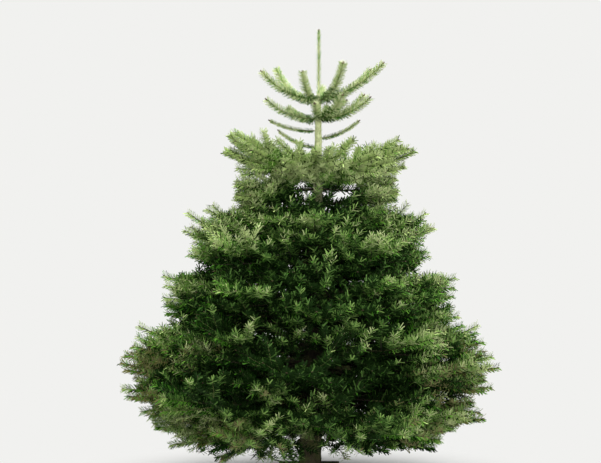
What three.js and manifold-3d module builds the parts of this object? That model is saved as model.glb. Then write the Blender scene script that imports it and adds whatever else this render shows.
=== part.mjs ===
// A cut Christmas tree: a Caucasian fir 1.8 m tall whose trunk stands in a blind hole in a half log.
// Millimetres, +Z up. The tree's front faces -Y, and the origin is the middle of the log's flat underside.
// Boughs grow in whorls round the trunk. Each carries one mass of foliage: a fan of sprays on one stem.
import * as THREE from "three";
import { mergeVertices } from "three/addons/utils/BufferGeometryUtils.js";
import Module from "manifold-3d";

const wasm = await Module();
wasm.setup();

// Trunk and half log
const TREE_TOP = 1800; // from the floor to the tip of the leader
const TRUNK_LEAN = 39; // the tip stands this far to the right of the foot
const FOOT_RADIUS = 47;
const TRUNK_TAPER = 0.9; // 1 would be a straight cone
const TIP_RADIUS = 2.5;
const TRUNK_SIDES = 12;
const TRUNK_RINGS = 9;
const LOG_RADIUS = 100;
const LOG_LENGTH = 240;
const LOG_HEIGHT = 80;
const LOG_ARC_STEPS = 10;
const HOLE_DEPTH = 55;
const CLEARANCE = 0.3; // between pieces that touch on the real tree
const STUBS = { height: 146, radius: 9, reach: 9, rise: 20 }; // two limbs sawn off above the log

// Wood inside the masses, and the boughs that carry the lowest ones
const STEM = { sides: 3, rings: 3, end: 0.82, least: 3, slimness: 90, taper: 0.75 };
const BOUGH = { sides: 6, rings: 3, thicker: 1.25 };

// How side limbs set off from a stem, in degrees and in shares of a length
const SIDE_ANGLE = 50;
const SIDE_ANGLE_SPREAD = 6;
const SIDE_SLICE = 38; // that a fan reaches to either side of its stem
const SIDE_SWAY = 20; // that side limbs tilt up at one fork and down at the next
const SIDE_SHARE = 0.62; // of what is left of the stem beyond the fork
const SIDE_MINIMUM = 45; // millimetres added to that
const SIDE_FORWARD = 0.34; // how far a side limb turns towards its stem's own way
const SIDE_LIFT = 0.16;
const FIRST_FORK = 0.2;
const LAST_FORK = 0.86;
const FORK_SETBACK = 0.25; // of the space between two forks
const SHORTER = [1, 0.8, 0.6, 0.45]; // lengths tried for a side limb

// Sprays of needles. Each row of an outline is a share of the spray's length, and the half-width there as a
// share of that length plus millimetres. An outline goes up one side, and the other side mirrors it.
const SPRAY_HALF_THICKNESS = 26;
const SPRAY_MIDDLE = 0.42;
const SPRAY_ROLL = 45; // degrees that a spray turns about its limb, this way at one fork and that at the next
const LONG_SPRAY = 262; // from here on a spray has three teeth a side and not two
const TIP_SPRAYS_FROM = [0.62, 0.72, 0.82]; // shares of a stem at which the spray on its tip may start
const TWO_TEETH = [
  [0, 0, 5],
  [0.36, 0.22, 8],
  [0.5, 0, 14],
  [0.8, 0.15, 8],
  [0.86, 0, 10],
];
const THREE_TEETH = [
  [0, 0, 5],
  [0.3, 0.24, 8],
  [0.44, 0, 15],
  [0.62, 0.18, 8],
  [0.6, 0.02, 12],
  [0.86, 0.08, 8],
  [0.84, 0, 9],
];

// Whorls of fans from the top down. turns says where the fans point. rise and lift are the stem's slopes at
// the trunk and at its tip, and hang is the tilt of the side limbs, all in degrees. bare is the share of the
// stem that is a bough of its own.
const WHORLS = [
  { height: 1236, turns: [0, 55, 118, 176, 232, 304], length: 400, rise: 0, lift: 34, hang: -10, forks: 2 },
  { height: 1168, turns: [-14, 80, 140, 204], length: 335, rise: -6, lift: 10, hang: -4, forks: 2 },
  { height: 975, turns: [0, 62, 122, 182, 268], length: 520, rise: 0, lift: 26 },
  { height: 885, turns: [22, 154, 226, 306], length: 565, rise: -5, lift: 16 },
  { height: 732, turns: [0, 90, 180, 242, 298], length: 610, rise: -7, lift: 22, hang: -2 },
  { height: 650, turns: [-14, 66, 166, 270], length: 630, rise: -9, lift: 15, hang: -4 },
  { height: 548, turns: [6, 130, 184, 234, 312], length: 740, rise: -8, lift: 16 },
  { height: 470, turns: [-10, 92, 172, 262], length: 750, rise: -10, lift: 15, hang: -2 },
  { height: 385, turns: [10, 50, 134, 190, 226], length: 765, rise: -12, lift: 12, hang: -2 },
  { height: 290, turns: [-16, 88, 172, 244, 300], length: 680, rise: -10, lift: 2, hang: -4, bare: 0.3 },
];
const FORKS = 3; // pairs of side limbs on a stem, where a whorl names no other number
const LENGTH_SPREAD = 0.05; // by which stems of one whorl differ
const LIFT_SPREAD = 6;

// Single shoots at the top: two rings of them on swollen collars round the trunk, then lone ones
const COLLARS = [
  { height: 1521, turns: [-8, 64, 133, 203, 256, 318], length: 295, rise: 4, lift: 54, leader: true },
  { height: 1451, turns: [-12, 62, 132, 184, 264], length: 230, rise: -4, lift: 44, leader: false },
];
const LONE_SHOOTS = [
  { height: 1397, turn: 178, length: 200, rise: -8, lift: 32 },
  { height: 1368, turn: -8, length: 180, rise: 0, lift: 42 },
  { height: 1330, turn: 186, length: 175, rise: 0, lift: 42 },
];
const COLLAR_THICKNESS = 6;
const COLLAR_HEIGHT = 16;
const SHOOT_HALF_THICKNESS = 19;
const SHOOT_OUTLINE = [
  [0, 0, 5],
  [0.1, 0, 23],
  [0.42, 0, 17],
  [0.62, 0, 24],
  [0.72, 0, 16],
  [0.92, 0, 18],
];
const LEADER_HALF_THICKNESS = 9;
const LEADER_OUTLINE = [
  [0, 0, 12],
  [0.1, 0, 14],
  [0.4, 0, 8],
  [0.6, 0, 10],
  [0.75, 0, 6],
  [0.92, 0, 7],
];

const BARK = { color: 0x4a3d2c, roughness: 0.95, metalness: 0 };
const SPLIT_WOOD = { color: 0x5a4a33, roughness: 0.9, metalness: 0 };
const NEEDLES = { color: 0x3f6b34, roughness: 0.6, metalness: 0 };

const UP = new THREE.Vector3(0, 0, 1);
const radians = THREE.MathUtils.degToRad;

// A number from 0 to 1 that looks random and is always the same for the same seed.
function chance(seed) {
  const mixed = Math.sin(seed * 12.9898 + 78.233) * 43758.5453;
  return mixed - Math.floor(mixed);
}

function spread(seed, amount) {
  return (2 * chance(seed) - 1) * amount;
}

// A limb is a bent line. It sets off along one way and has turned by bend when it reaches its end.
class Limb extends THREE.Curve {
  constructor(start, along, bend, length) {
    super();
    Object.assign(this, { start, along, bend, length });
  }

  getPoint(share, target = new THREE.Vector3()) {
    return target
      .copy(this.start)
      .addScaledVector(this.along, this.length * share)
      .addScaledVector(this.bend, (this.length * share * share) / 2);
  }

  // The point at a share of the limb's length, with the ways ahead, to its left and upwards there.
  frame(share) {
    const ahead = this.along.clone().addScaledVector(this.bend, share).normalize();
    const side = UP.clone().cross(ahead).normalize();
    return { point: this.getPoint(share), ahead, side, up: ahead.clone().cross(side) };
  }
}

// A limb from the origin in the plane of +X and +Z, from the slope at its foot to the slope at its tip.
function stemOf(length, rise, lift) {
  const along = new THREE.Vector3(Math.cos(radians(rise)), 0, Math.sin(radians(rise)));
  const end = new THREE.Vector3(Math.cos(radians(lift)), 0, Math.sin(radians(lift)));
  return new Limb(new THREE.Vector3(), along, end.sub(along), length);
}

// A limb that forks off a stem, to its left where hand is 1 and to its right where it is -1.
function sideLimb(stem, share, hand, angle, tilt, length) {
  const { point, ahead, side, up } = stem.frame(share);
  const outwards = side.multiplyScalar(hand * Math.cos(radians(tilt)));
  outwards.addScaledVector(up, Math.sin(radians(tilt)));
  const along = ahead.clone().multiplyScalar(Math.cos(radians(angle)));
  along.addScaledVector(outwards, Math.sin(radians(angle)));
  const bend = ahead.clone().multiplyScalar(SIDE_FORWARD).addScaledVector(UP, SIDE_LIFT);
  return new Limb(point, along, bend, length);
}

// The closed solid of a geometry, and the geometry of a solid.
function solidOf(geometry) {
  geometry.deleteAttribute("normal");
  geometry.deleteAttribute("uv");
  const merged = mergeVertices(geometry, 1e-4);
  const triVerts = Uint32Array.from(merged.index.array);
  return new wasm.Manifold(
    new wasm.Mesh({ numProp: 3, vertProperties: merged.attributes.position.array, triVerts }),
  );
}

function geometryOf(solid) {
  const { vertProperties, triVerts } = solid.getMesh();
  const geometry = new THREE.BufferGeometry();
  geometry.setAttribute("position", new THREE.BufferAttribute(vertProperties, 3));
  geometry.setIndex(new THREE.BufferAttribute(triVerts, 1));
  geometry.computeVertexNormals();
  return geometry;
}

// A closed tube round a limb between two shares of its length.
function tube(limb, from, to, sides, rings, radiusAt) {
  const geometry = new THREE.CylinderGeometry(1, 1, 1, sides, rings);
  const corners = geometry.attributes.position;
  for (let i = 0; i < corners.count; i++) {
    const share = from + (to - from) * (corners.getY(i) + 0.5);
    const { point, side, up } = limb.frame(share);
    const radius = radiusAt(share);
    point.addScaledVector(up, corners.getX(i) * radius).addScaledVector(side, corners.getZ(i) * radius);
    corners.setXYZ(i, point.x, point.y, point.z);
  }
  return solidOf(geometry);
}

// Trunk: its axis leans a little and straightens towards the tip.
const trunkX = (z) => TRUNK_LEAN * (1 - (1 - z / TREE_TOP) ** 2);
const trunkRadius = (z) => Math.max(TIP_RADIUS, FOOT_RADIUS * (1 - z / TREE_TOP) ** TRUNK_TAPER);

function trunkBetween(bottom, top, extra) {
  const geometry = new THREE.CylinderGeometry(1, 1, 1, TRUNK_SIDES, TRUNK_RINGS);
  geometry.rotateX(Math.PI / 2);
  const corners = geometry.attributes.position;
  for (let i = 0; i < corners.count; i++) {
    const z = bottom + (top - bottom) * (corners.getZ(i) + 0.5);
    const radius = trunkRadius(z) + extra;
    corners.setXYZ(i, trunkX(z) + corners.getX(i) * radius, corners.getY(i) * radius, z);
  }
  return solidOf(geometry);
}

const holeFloor = LOG_HEIGHT - HOLE_DEPTH;
const trunkRoom = trunkBetween(holeFloor, TREE_TOP, CLEARANCE); // what every other piece keeps clear of

function trunkWithStubs() {
  const stem = trunkBetween(holeFloor + CLEARANCE, TREE_TOP, 0);
  const { height, radius, reach, rise } = STUBS;
  const start = new THREE.Vector3(trunkX(height), 0, height);
  const stubs = [-1, 1].map((hand) => {
    const way = new THREE.Vector3(hand * Math.cos(radians(rise)), 0, Math.sin(radians(rise)));
    const limb = new Limb(start, way, new THREE.Vector3(), trunkRadius(height) + reach);
    return tube(limb, 0, 1, BOUGH.sides, 1, () => radius);
  });
  return wasm.Manifold.union([stem, ...stubs]);
}

// Half log: a round log sawn flat a little below its middle, with a blind hole for the trunk.
function halfLog() {
  const middle = LOG_HEIGHT - LOG_RADIUS;
  const flatAngle = Math.asin(-middle / LOG_RADIUS);
  const section = new THREE.Shape();
  section.absarc(0, middle, LOG_RADIUS, flatAngle, Math.PI - flatAngle, false);
  section.closePath();
  const geometry = new THREE.ExtrudeGeometry(section, {
    depth: LOG_LENGTH,
    bevelEnabled: false,
    curveSegments: LOG_ARC_STEPS,
  });
  geometry.translate(0, 0, -LOG_LENGTH / 2).rotateX(Math.PI / 2).rotateZ(Math.PI / 2);
  return solidOf(geometry).subtract(trunkRoom);
}

// A spray of needles from a share of a limb's length to its tip: a toothed outline round one high and one low
// point. Its breadth lies level where roll is 0.
function spray(limb, from, roll, outlineRows, thickness) {
  const turned = (share) => {
    const { point, ahead, side, up } = limb.frame(from + (1 - from) * share);
    const [across, over] = [side, up].map((way) => way.applyAxisAngle(ahead, radians(roll)));
    return { point, across, over };
  };
  const length = limb.length * (1 - from);
  const edge = (hand) =>
    outlineRows.map(([share, widening, width]) => {
      const { point, across } = turned(share);
      return point.addScaledVector(across, hand * (widening * length + width));
    });
  const { point, over } = turned(SPRAY_MIDDLE);
  const high = point.clone().addScaledVector(over, thickness);
  const low = point.clone().addScaledVector(over, -thickness);
  const outline = [...edge(-1), limb.getPoint(1), ...edge(1).reverse()];
  const geometry = new THREE.BufferGeometry().setFromPoints([high, low, ...outline]);
  const triangles = outline.flatMap((_, i) => {
    const here = 2 + i;
    const next = 2 + ((i + 1) % outline.length);
    return [0, here, next, 1, next, here];
  });
  geometry.setIndex(triangles);
  return solidOf(geometry);
}

function broadSpray(limb, from, roll) {
  const outlineRows = limb.length * (1 - from) > LONG_SPRAY ? THREE_TEETH : TWO_TEETH;
  return spray(limb, from, roll, outlineRows, SPRAY_HALF_THICKNESS);
}

const tree = new THREE.Group();

// What a new spray keeps clear of: solids in the tree's own frame, with the branch each belongs to, if any.
const obstacles = [];

function addObstacle(solid, group, branch) {
  const moved = solid.transform(placeOf(group).elements);
  obstacles.push({ solid: moved, box: moved.boundingBox(), branch });
}

function boxesMeet(a, b) {
  return [0, 1, 2].every((i) => a.min[i] <= b.max[i] && b.min[i] <= a.max[i]);
}

function isClear(solid, branch) {
  const moved = solid.transform(placeOf(branch.group).elements);
  const box = moved.boundingBox();
  const near = obstacles.filter((other) => other.branch !== branch && boxesMeet(box, other.box));
  return near.every((other) => moved.minGap(other.solid, 1) >= CLEARANCE);
}

function addPiece(name, solid, look, group = tree, branch = null) {
  const mesh = new THREE.Mesh(geometryOf(solid), new THREE.MeshStandardMaterial(look));
  mesh.name = name;
  group.add(mesh);
  addObstacle(solid, group, branch);
}

function placeOf(group) {
  group.updateMatrixWorld(true);
  return group.matrixWorld;
}

// A group on the trunk's axis at a height, turned so that its +X points along the bough.
function seatOnTrunk(height, turn) {
  const group = new THREE.Group();
  group.position.set(trunkX(height), 0, height);
  group.rotation.z = radians(turn);
  tree.add(group);
  return group;
}

// The solid without the trunk's room. What the cut leaves loose inside the trunk is dropped.
function clearOfTrunk(solid, group) {
  const back = placeOf(group).clone().invert();
  const pieces = solid.subtract(trunkRoom.transform(back.elements)).decompose();
  return pieces.reduce((largest, piece) => (piece.volume() > largest.volume() ? piece : largest));
}

// A stem's radius at a share of its length.
const stemRadius = (stem, share) => (STEM.least + stem.length / STEM.slimness) * (1 - STEM.taper * share);

// A side limb keeps to its stem's own slice of the crown, so one that forks off near the trunk is short.
function sideLength(stem, share, angle) {
  const wanted = SIDE_SHARE * stem.length * (1 - share) + SIDE_MINIMUM;
  const opening = Math.tan(radians(SIDE_SLICE));
  const room = share * stem.length * opening;
  return Math.min(wanted, room / (Math.sin(radians(angle)) - opening * Math.cos(radians(angle))));
}

// The side limbs of a branch as sprays, in pairs that shorten towards its tip. One that meets another branch
// is tried again shorter, and left out if none fits.
function sideSprays(branch) {
  const { stem, bare, forks, hang, seed } = branch;
  const firstFork = Math.max(bare, FIRST_FORK);
  const sprays = [];
  for (let fork = 0; fork < forks; fork++) {
    const share = firstFork + ((LAST_FORK - firstFork) * (fork + FORK_SETBACK)) / forks;
    for (const hand of [-1, 1]) {
      const own = seed + 2 * fork + (hand + 1) / 2;
      const way = fork % 2 ? -1 : 1;
      const angle = SIDE_ANGLE + spread(own, SIDE_ANGLE_SPREAD);
      const tilt = hang + way * SIDE_SWAY + spread(own + 0.3, SIDE_SWAY / 2);
      const tries = SHORTER.map((shorter) => {
        const limb = sideLimb(stem, share, hand, angle, tilt, shorter * sideLength(stem, share, angle));
        return broadSpray(limb, 0, way * hand * SPRAY_ROLL);
      });
      sprays.push(tries.find((made) => isClear(made, branch)));
    }
  }
  return sprays;
}

// A mass: the stem's wood, a spray at its tip and sprays on its side limbs.
function fan(branch) {
  const roll = chance(branch.seed + 17) > 0.5 ? SPRAY_ROLL : -SPRAY_ROLL;
  const tips = TIP_SPRAYS_FROM.map((from) => broadSpray(branch.stem, from, roll));
  const tip = tips.find((made) => isClear(made, branch));
  return wasm.Manifold.union([branch.wood, tip, ...sideSprays(branch)].filter(Boolean));
}

// The branches of one whorl, each a stem that sets off from the trunk at one turn, with its wood.
function branchesOf({ height, turns, length, rise, lift, hang = 0, forks = FORKS, bare = 0 }, tier) {
  return turns.map((turn, i) => {
    const name = `${tier}_${i + 1}`;
    const seed = 100 * tier + 20 * i;
    const ownLength = length * (1 + spread(seed + 13, LENGTH_SPREAD));
    const stem = stemOf(ownLength, rise, lift + spread(seed + 15, LIFT_SPREAD));
    const wood = tube(stem, bare, STEM.end, STEM.sides, STEM.rings, (share) => stemRadius(stem, share));
    return { name, group: seatOnTrunk(height, turn), seed, stem, wood, hang, forks, bare };
  });
}

// The limb that carries a mass, where the first stretch of the stem is bare.
function bough({ name, group, stem, bare }) {
  const radiusAt = (share) => BOUGH.thicker * stemRadius(stem, share);
  const limb = tube(stem, 0, bare - CLEARANCE / stem.length, BOUGH.sides, BOUGH.rings, radiusAt);
  addPiece(`bough_${name}`, clearOfTrunk(limb, group), BARK, group);
}

function mass(branch) {
  const solid = clearOfTrunk(fan(branch), branch.group);
  addPiece(`mass_${branch.name}`, solid, NEEDLES, branch.group, branch);
}

// A single shoot: one slim spray from the trunk's axis to the tip.
function shoot(length, rise, lift) {
  return spray(stemOf(length, rise, lift), 0, SPRAY_ROLL, SHOOT_OUTLINE, SHOOT_HALF_THICKNESS);
}

// The needles along the leader: two slim sprays that cross on the trunk's axis.
function leaderNeedles(height) {
  const way = new THREE.Vector3(trunkX(TREE_TOP) - trunkX(height), 0, TREE_TOP - height);
  const leader = new Limb(new THREE.Vector3(), way.clone().normalize(), new THREE.Vector3(), way.length());
  return [0, 90].map((roll) => spray(leader, 0, roll, LEADER_OUTLINE, LEADER_HALF_THICKNESS));
}

function collar({ height, turns, length, rise, lift, leader }, tier) {
  const group = seatOnTrunk(height, 0);
  const radius = trunkRadius(height) + COLLAR_THICKNESS;
  const ring = new THREE.CylinderGeometry(radius, radius, COLLAR_HEIGHT, TRUNK_SIDES);
  ring.rotateX(Math.PI / 2);
  const shoots = turns.map((turn) => shoot(length, rise, lift).rotate([0, 0, turn]));
  const needles = leader ? leaderNeedles(height) : [];
  const solid = wasm.Manifold.union([solidOf(ring), ...shoots, ...needles]);
  addPiece(`shoots_${tier}`, clearOfTrunk(solid, group), NEEDLES, group);
}

function loneShoot({ height, turn, length, rise, lift }, i) {
  const group = seatOnTrunk(height, turn);
  addPiece(`lone_shoot_${i + 1}`, clearOfTrunk(shoot(length, rise, lift), group), NEEDLES, group);
}

addPiece("half_log", halfLog(), SPLIT_WOOD);
addPiece("trunk", trunkWithStubs(), BARK);
COLLARS.forEach((spec, i) => collar(spec, 1 + i));
LONE_SHOOTS.forEach(loneShoot);
const branches = WHORLS.flatMap((spec, i) => branchesOf(spec, 1 + COLLARS.length + i));
branches.forEach((branch) => addObstacle(branch.wood, branch.group, branch));
branches.filter((branch) => branch.bare).forEach(bough);
branches.forEach(mass);

export default tree;
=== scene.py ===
"""A cut Caucasian fir, 1.8 m tall, dressed for the eye: bark, boughs, twigs, needles, buds and the half log.

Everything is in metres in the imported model's own frame: +Z up, the tree's front faces -Y, and the origin is the
middle of the log's flat underside. The limbs grow by the same rule as the solids of the CAD model, carried on to
finer twigs.
"""

from collections import namedtuple

import bpy
import numpy as np
from bpy.props import FloatProperty, FloatVectorProperty, IntProperty, PointerProperty
from bpy.types import Operator, Panel, PropertyGroup
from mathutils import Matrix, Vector


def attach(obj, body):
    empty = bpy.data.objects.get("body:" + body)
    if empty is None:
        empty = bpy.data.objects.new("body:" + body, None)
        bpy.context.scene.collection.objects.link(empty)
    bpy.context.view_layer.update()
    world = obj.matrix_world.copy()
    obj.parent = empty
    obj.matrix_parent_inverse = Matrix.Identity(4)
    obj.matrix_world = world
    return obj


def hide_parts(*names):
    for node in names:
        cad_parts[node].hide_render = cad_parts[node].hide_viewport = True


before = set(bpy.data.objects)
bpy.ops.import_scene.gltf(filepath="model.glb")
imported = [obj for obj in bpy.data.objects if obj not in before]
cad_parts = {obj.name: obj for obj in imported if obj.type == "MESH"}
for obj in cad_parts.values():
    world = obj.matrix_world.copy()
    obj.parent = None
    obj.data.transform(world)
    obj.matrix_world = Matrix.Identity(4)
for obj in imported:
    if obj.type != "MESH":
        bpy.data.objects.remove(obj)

bl_info = {
    "name": "Cut Caucasian fir",
    "version": (1, 0, 0),
    "blender": (4, 5, 0),
    "location": "3D View > Sidebar > Fir",
    "description": "Grows the bark, twigs, needles and stand of a cut Christmas tree round its CAD model",
    "category": "Add Mesh",
}

UP = np.array([0.0, 0.0, 1.0])

# Whorls of boughs from the top down, in metres and degrees, as the solids have them but for the slopes of a few
# boughs and how bare the second whorl is. The place of a row, here and in the tables below, sets its seeds. turns
# says where the boughs point. rise and lift are a bough's slopes at the trunk and at its tip, and hang is the tilt of
# its side limbs. forks counts pairs of side limbs, bare is the share of a bough that has none, and shade is how much
# darker its needles are.
WHORLS = [
    dict(height=1.236, turns=[0, 55, 118, 176, 232, 304], length=[0.405, 0.4, 0.4, 0.38, 0.4, 0.4], rise=0,
         lift=[26, 8, 10, 26, 22, 18], hang=-20, forks=2),
    dict(height=1.168, turns=[-14, 80, 140, 204], length=0.335, rise=-6, lift=10, hang=-4, forks=2, bare=0.4,
         shade=0.3),
    dict(height=0.975, turns=[0, 62, 122, 182, 268], length=0.520, rise=0, lift=26),
    dict(height=0.885, turns=[22, 154, 226, 306], length=0.565, rise=-5, lift=16),
    dict(height=0.732, turns=[0, 90, 180, 242, 298], length=0.610, rise=-7, lift=22, hang=-2),
    dict(height=0.650, turns=[-14, 66, 166, 270], length=0.630, rise=-9, lift=15, hang=-4),
    dict(height=0.548, turns=[6, 130, 184, 234, 312], length=0.740, rise=-8, lift=[20, 16, 14, 16, 16]),
    dict(height=0.470, turns=[-10, 92, 172, 262], length=0.750, rise=-10, lift=15, hang=-2),
    dict(height=0.385, turns=[10, 50, 134, 190, 226], length=0.765, rise=-12, lift=12, hang=-2),
    dict(height=0.290, turns=[-16, 88, 172, 244, 300], length=0.680, rise=-10, lift=2, hang=-4, bare=0.3),
]
FIRST_TIER = 3
LOW_TIER = FIRST_TIER + len(WHORLS)
FORKS = 3
LENGTH_SPREAD = 0.05
LIFT_SPREAD = 6

# Heights that part the crown's storeys, in metres
DROOPING_BELOW = 0.26  # boughs of EXTRA_BOUGHS that spring below it hang under the lowest whorl
OLIVE_BELOW = 0.55  # shoots below it may be olive, and deep ones have no paler needles
SPREADING_BELOW = 1.15  # below it the crown spreads most to the left and the right
TOP_FROM = 1.1  # limbs above it are young and slim, with few twigs
FAN_FROM = 1.2  # boughs that spring above it are the top fan's, which are full brushes
FULL_BELOW = 1.23  # boughs below it have one more pair of side limbs between each two of the solids' pairs

# Single shoots at the top: two rings of them on swollen collars round the trunk, then lone ones.
COLLARS = [
    dict(height=1.519, turns=[-8, 28, 84, 135, 203, 245, 297], length=[0.305, 0.295, 0.2, 0.32, 0.285, 0.24, 0.28],
         rise=[12, 6, 0, 0, 0, -10, 0], lift=[46, 52, 40, 60, 46, 74, 64]),
    dict(height=1.445, turns=[-12, 20, 48, 75, 132, 184, 262, 310], length=[0.235, 0.235, 0.2, 0.17, 0.2, 0.235, 0.13,
         0.18], rise=[0, 4, 6, 0, -4, -2, 0, 6], lift=[42, 50, 46, 44, 36, 42, 50, 54]),
]
LONE_SHOOTS = [
    dict(height=1.399, turns=[178], length=0.200, rise=-3, lift=26),
    dict(height=1.368, turns=[-8], length=0.180, rise=4, lift=40),
    dict(height=1.332, turns=[186], length=0.175, rise=4, lift=40),
]

# How far the crown reaches to the left and to the right of its axis at each height, in metres
OUTLINE = np.array([
    (0.118, 0.50, 0.50), (0.150, 0.60, 0.52), (0.190, 0.57, 0.52), (0.214, 0.59, 0.54), (0.250, 0.64, 0.60),
    (0.285, 0.70, 0.68), (0.318, 0.66, 0.61), (0.345, 0.70, 0.63), (0.368, 0.77, 0.72), (0.421, 0.72, 0.68),
    (0.469, 0.77, 0.72), (0.501, 0.76, 0.72), (0.548, 0.72, 0.68), (0.580, 0.69, 0.65), (0.602, 0.59, 0.55),
    (0.644, 0.58, 0.53), (0.676, 0.61, 0.56), (0.708, 0.60, 0.54), (0.756, 0.62, 0.57), (0.812, 0.61, 0.55),
    (0.850, 0.43, 0.38), (0.915, 0.52, 0.45), (0.963, 0.49, 0.42), (1.011, 0.54, 0.47), (1.045, 0.50, 0.43),
    (1.068, 0.35, 0.32), (1.130, 0.32, 0.31), (1.202, 0.32, 0.30), (1.282, 0.33, 0.35), (1.330, 0.36, 0.39),
    (1.360, 0.37, 0.41),
])

# Weaker boughs that spring from the trunk between the whorls and fill the crown: they climb it in a golden spiral
# and end at a share of its outline. None grows in the gaps where the photo shows sky or deep shade between the
# whorls: each gap is a range of heights and a range of turns.
FILLERS = dict(count=50, lowest=0.24, highest=1.19, share=0.87, share_spread=0.13, rise=0, lift=8, forks=2,
               shade=0.16)
GAPS = [(1.05, 1.19, 0, 360), (0.39, 0.47, 220, 320)]
GOLDEN_TURN = 137.508

# Boughs that the photo shows besides the whorls: long fingers and a front fan at the top, low drooping ones, and
# short shaded ones that close the crown inside and at its back
EXTRA_BOUGHS = [
    dict(height=1.245, turns=[24, 148], length=[0.34, 0.27], rise=4, lift=[30, 38], hang=-26, forks=1),
    dict(height=1.222, turns=[268], length=0.330, rise=2, lift=20, hang=-6, forks=2, shade=-0.12),
    dict(height=1.200, turns=[248, 288, 350], length=[0.26, 0.26, 0.33], rise=-6, lift=14, hang=-8, forks=2,
         shade=-0.12),
    dict(height=1.115, turns=[162, 186, 208], length=0.27, rise=2, lift=10, forks=2, shade=0.22),
    dict(height=1.105, turns=[34, 14, -26], length=0.33, rise=2, lift=12, forks=2, bare=0.5, shade=0.22),
    dict(height=1.050, turns=[40, 112, 184, 256, 328], length=0.24, rise=0, lift=14, forks=2, shade=0.3),
    dict(height=0.930, turns=[18, 90, 162, 234, 306], length=0.3, rise=0, lift=14, forks=2, shade=0.3),
    dict(height=0.800, turns=[56, 128, 200, 272, 344], length=0.32, rise=0, lift=14, forks=2, shade=0.3),
    dict(height=0.400, turns=[20, 65, 110, 155, 200, 245, 290, 335], length=0.42, rise=0, lift=4, forks=2, shade=0.3),
    dict(height=0.300, turns=[0, 45, 90, 135, 180, 225, 270, 315], length=0.44, rise=-4, lift=4, forks=2, shade=0.3),
    dict(height=0.255, turns=[268], length=0.28, rise=-2, lift=-4, hang=-4, forks=2, shade=-0.75),
    dict(height=0.250, turns=[205, 226, 242, 298, 315, 330], length=[0.48, 0.49, 0.42, 0.47, 0.43, 0.5], rise=-8,
         lift=[-6, -16, -13, -8, -8, 0], hang=-4, forks=2, shade=-0.25),
    dict(height=0.235, turns=[15, 75, 135, 195, 255, 315], length=0.22, rise=0, lift=0, hang=-4, forks=2),
    dict(height=0.240, turns=[150, 186, 30, 90, -6, 345], length=[0.42, 0.6, 0.42, 0.42, 0.53, 0.5], rise=-6,
         lift=0, hang=-6, forks=2, shade=-0.3),
    dict(height=0.865, turns=[0, 72, 144, 216, 288], length=0.3, rise=0, lift=14, forks=2, shade=0.3),
    dict(height=0.840, turns=[190, 165, 10, -12], length=0.38, rise=0, lift=4, forks=2, shade=0.35),
    dict(height=0.800, turns=[55, 85, 115, 140], length=0.40, rise=0, lift=6, forks=2, shade=0.35),
    dict(height=0.590, turns=[60, 88, 120], length=0.44, rise=0, lift=6, forks=2, shade=0.35),
    dict(height=0.455, turns=[12, -8], length=0.54, rise=0, lift=8, forks=2, shade=0.1),
]
# From where these rows and the lone shoots are numbered, which sets their seeds
EXTRA_SEEDS, LONE_SEEDS = 20, 31

# Where the photo's fingers and blunt lobes end to the left and the right of the crown: across and up in metres,
# the slope of their tips in degrees, and how many forks they have
LOBES = [
    (-0.325, 1.376, 45, 1), (-0.325, 1.318, 26, 1), (-0.240, 1.358, 58, 1), (-0.305, 1.125, 34, 1),
    (-0.390, 1.100, 48, 1), (-0.488, 1.070, 38, 1), (-0.510, 1.000, 26, 2), (-0.486, 0.907, 12, 2),
    (-0.585, 0.822, 20, 1), (-0.590, 0.780, 12, 2), (-0.586, 0.735, 6, 2), (-0.585, 0.668, 0, 2),
    (-0.680, 0.622, 28, 1), (-0.695, 0.575, 26, 1), (-0.705, 0.545, 16, 2), (-0.755, 0.477, 16, 2),
    (-0.740, 0.450, 10, 2), (-0.690, 0.510, 14, 2), (-0.700, 0.420, 10, 2), (-0.750, 0.374, 4, 2),
    (-0.680, 0.281, -6, 2), (-0.655, 0.252, -8, 2), (-0.630, 0.235, -8, 1), (-0.570, 0.140, -12, 2),
    (0.362, 1.338, 46, 1), (0.430, 1.318, 28, 1), (0.388, 1.258, 12, 1), (0.405, 1.105, 52, 1),
    (0.480, 1.070, 40, 1), (0.510, 1.011, 26, 2), (0.486, 0.899, 12, 2), (0.590, 0.815, 18, 1),
    (0.585, 0.775, 10, 2), (0.586, 0.740, 6, 2), (0.570, 0.676, 0, 2), (0.682, 0.625, 30, 1),
    (0.690, 0.590, 24, 1), (0.705, 0.556, 14, 2), (0.745, 0.497, 16, 2), (0.700, 0.430, 10, 2),
    (0.750, 0.368, 2, 2), (0.715, 0.400, 8, 2), (0.682, 0.283, -6, 2), (0.600, 0.230, -10, 2),
    (0.515, 0.122, -14, 2),
]
LOBE_RISE = -8
LOBE_SWERVE = 7  # how far a lobe's bough points from straight left or right
LOBE_NEEDLES = 0.012  # what the needles at its tip add to its reach
LEFTWARD = 0.055  # how much longer boughs are to the left of the leaning trunk, and shorter to its right, at 1 m

# How side limbs set off from a bough, in degrees and in shares of a length, much as in the solids
SIDE_ANGLE = 50
SIDE_ANGLE_SPREAD = 6
SIDE_SLICE = 38  # half the wedge from the trunk that a bough's side limbs keep to
SIDE_SWAY = 20  # their tilt up and down by turns
BETWEEN_SWAY = 1.6  # how much more the pairs between the solids' pairs may tilt
FLATTER = 0.6  # how much of that tilt is left to the left and the right of the crown
SIDEWAYS = 0.85  # the cosine of a turn from which a bough counts as pointing there
SIDE_SHARE = 0.62  # a side limb's length over what is left of its bough
SIDE_MINIMUM = 0.045
BETWEEN_SHARE = 0.9  # how much shorter the pairs between the solids' pairs are
SIDE_FORWARD = 0.34  # how far a side limb turns forwards on its way
TOP_FORWARD = 0.45  # how much farther at the top
SIDE_LIFT = 0.3  # how far it turns up
SPRAY_ROLL = 45  # how far its spray of twigs is rolled about it
FIRST_FORK = 0.2
LAST_FORK = 0.86
TOP_LAST_FORK = 0.62
FORK_SETBACK = 0.25

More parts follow.
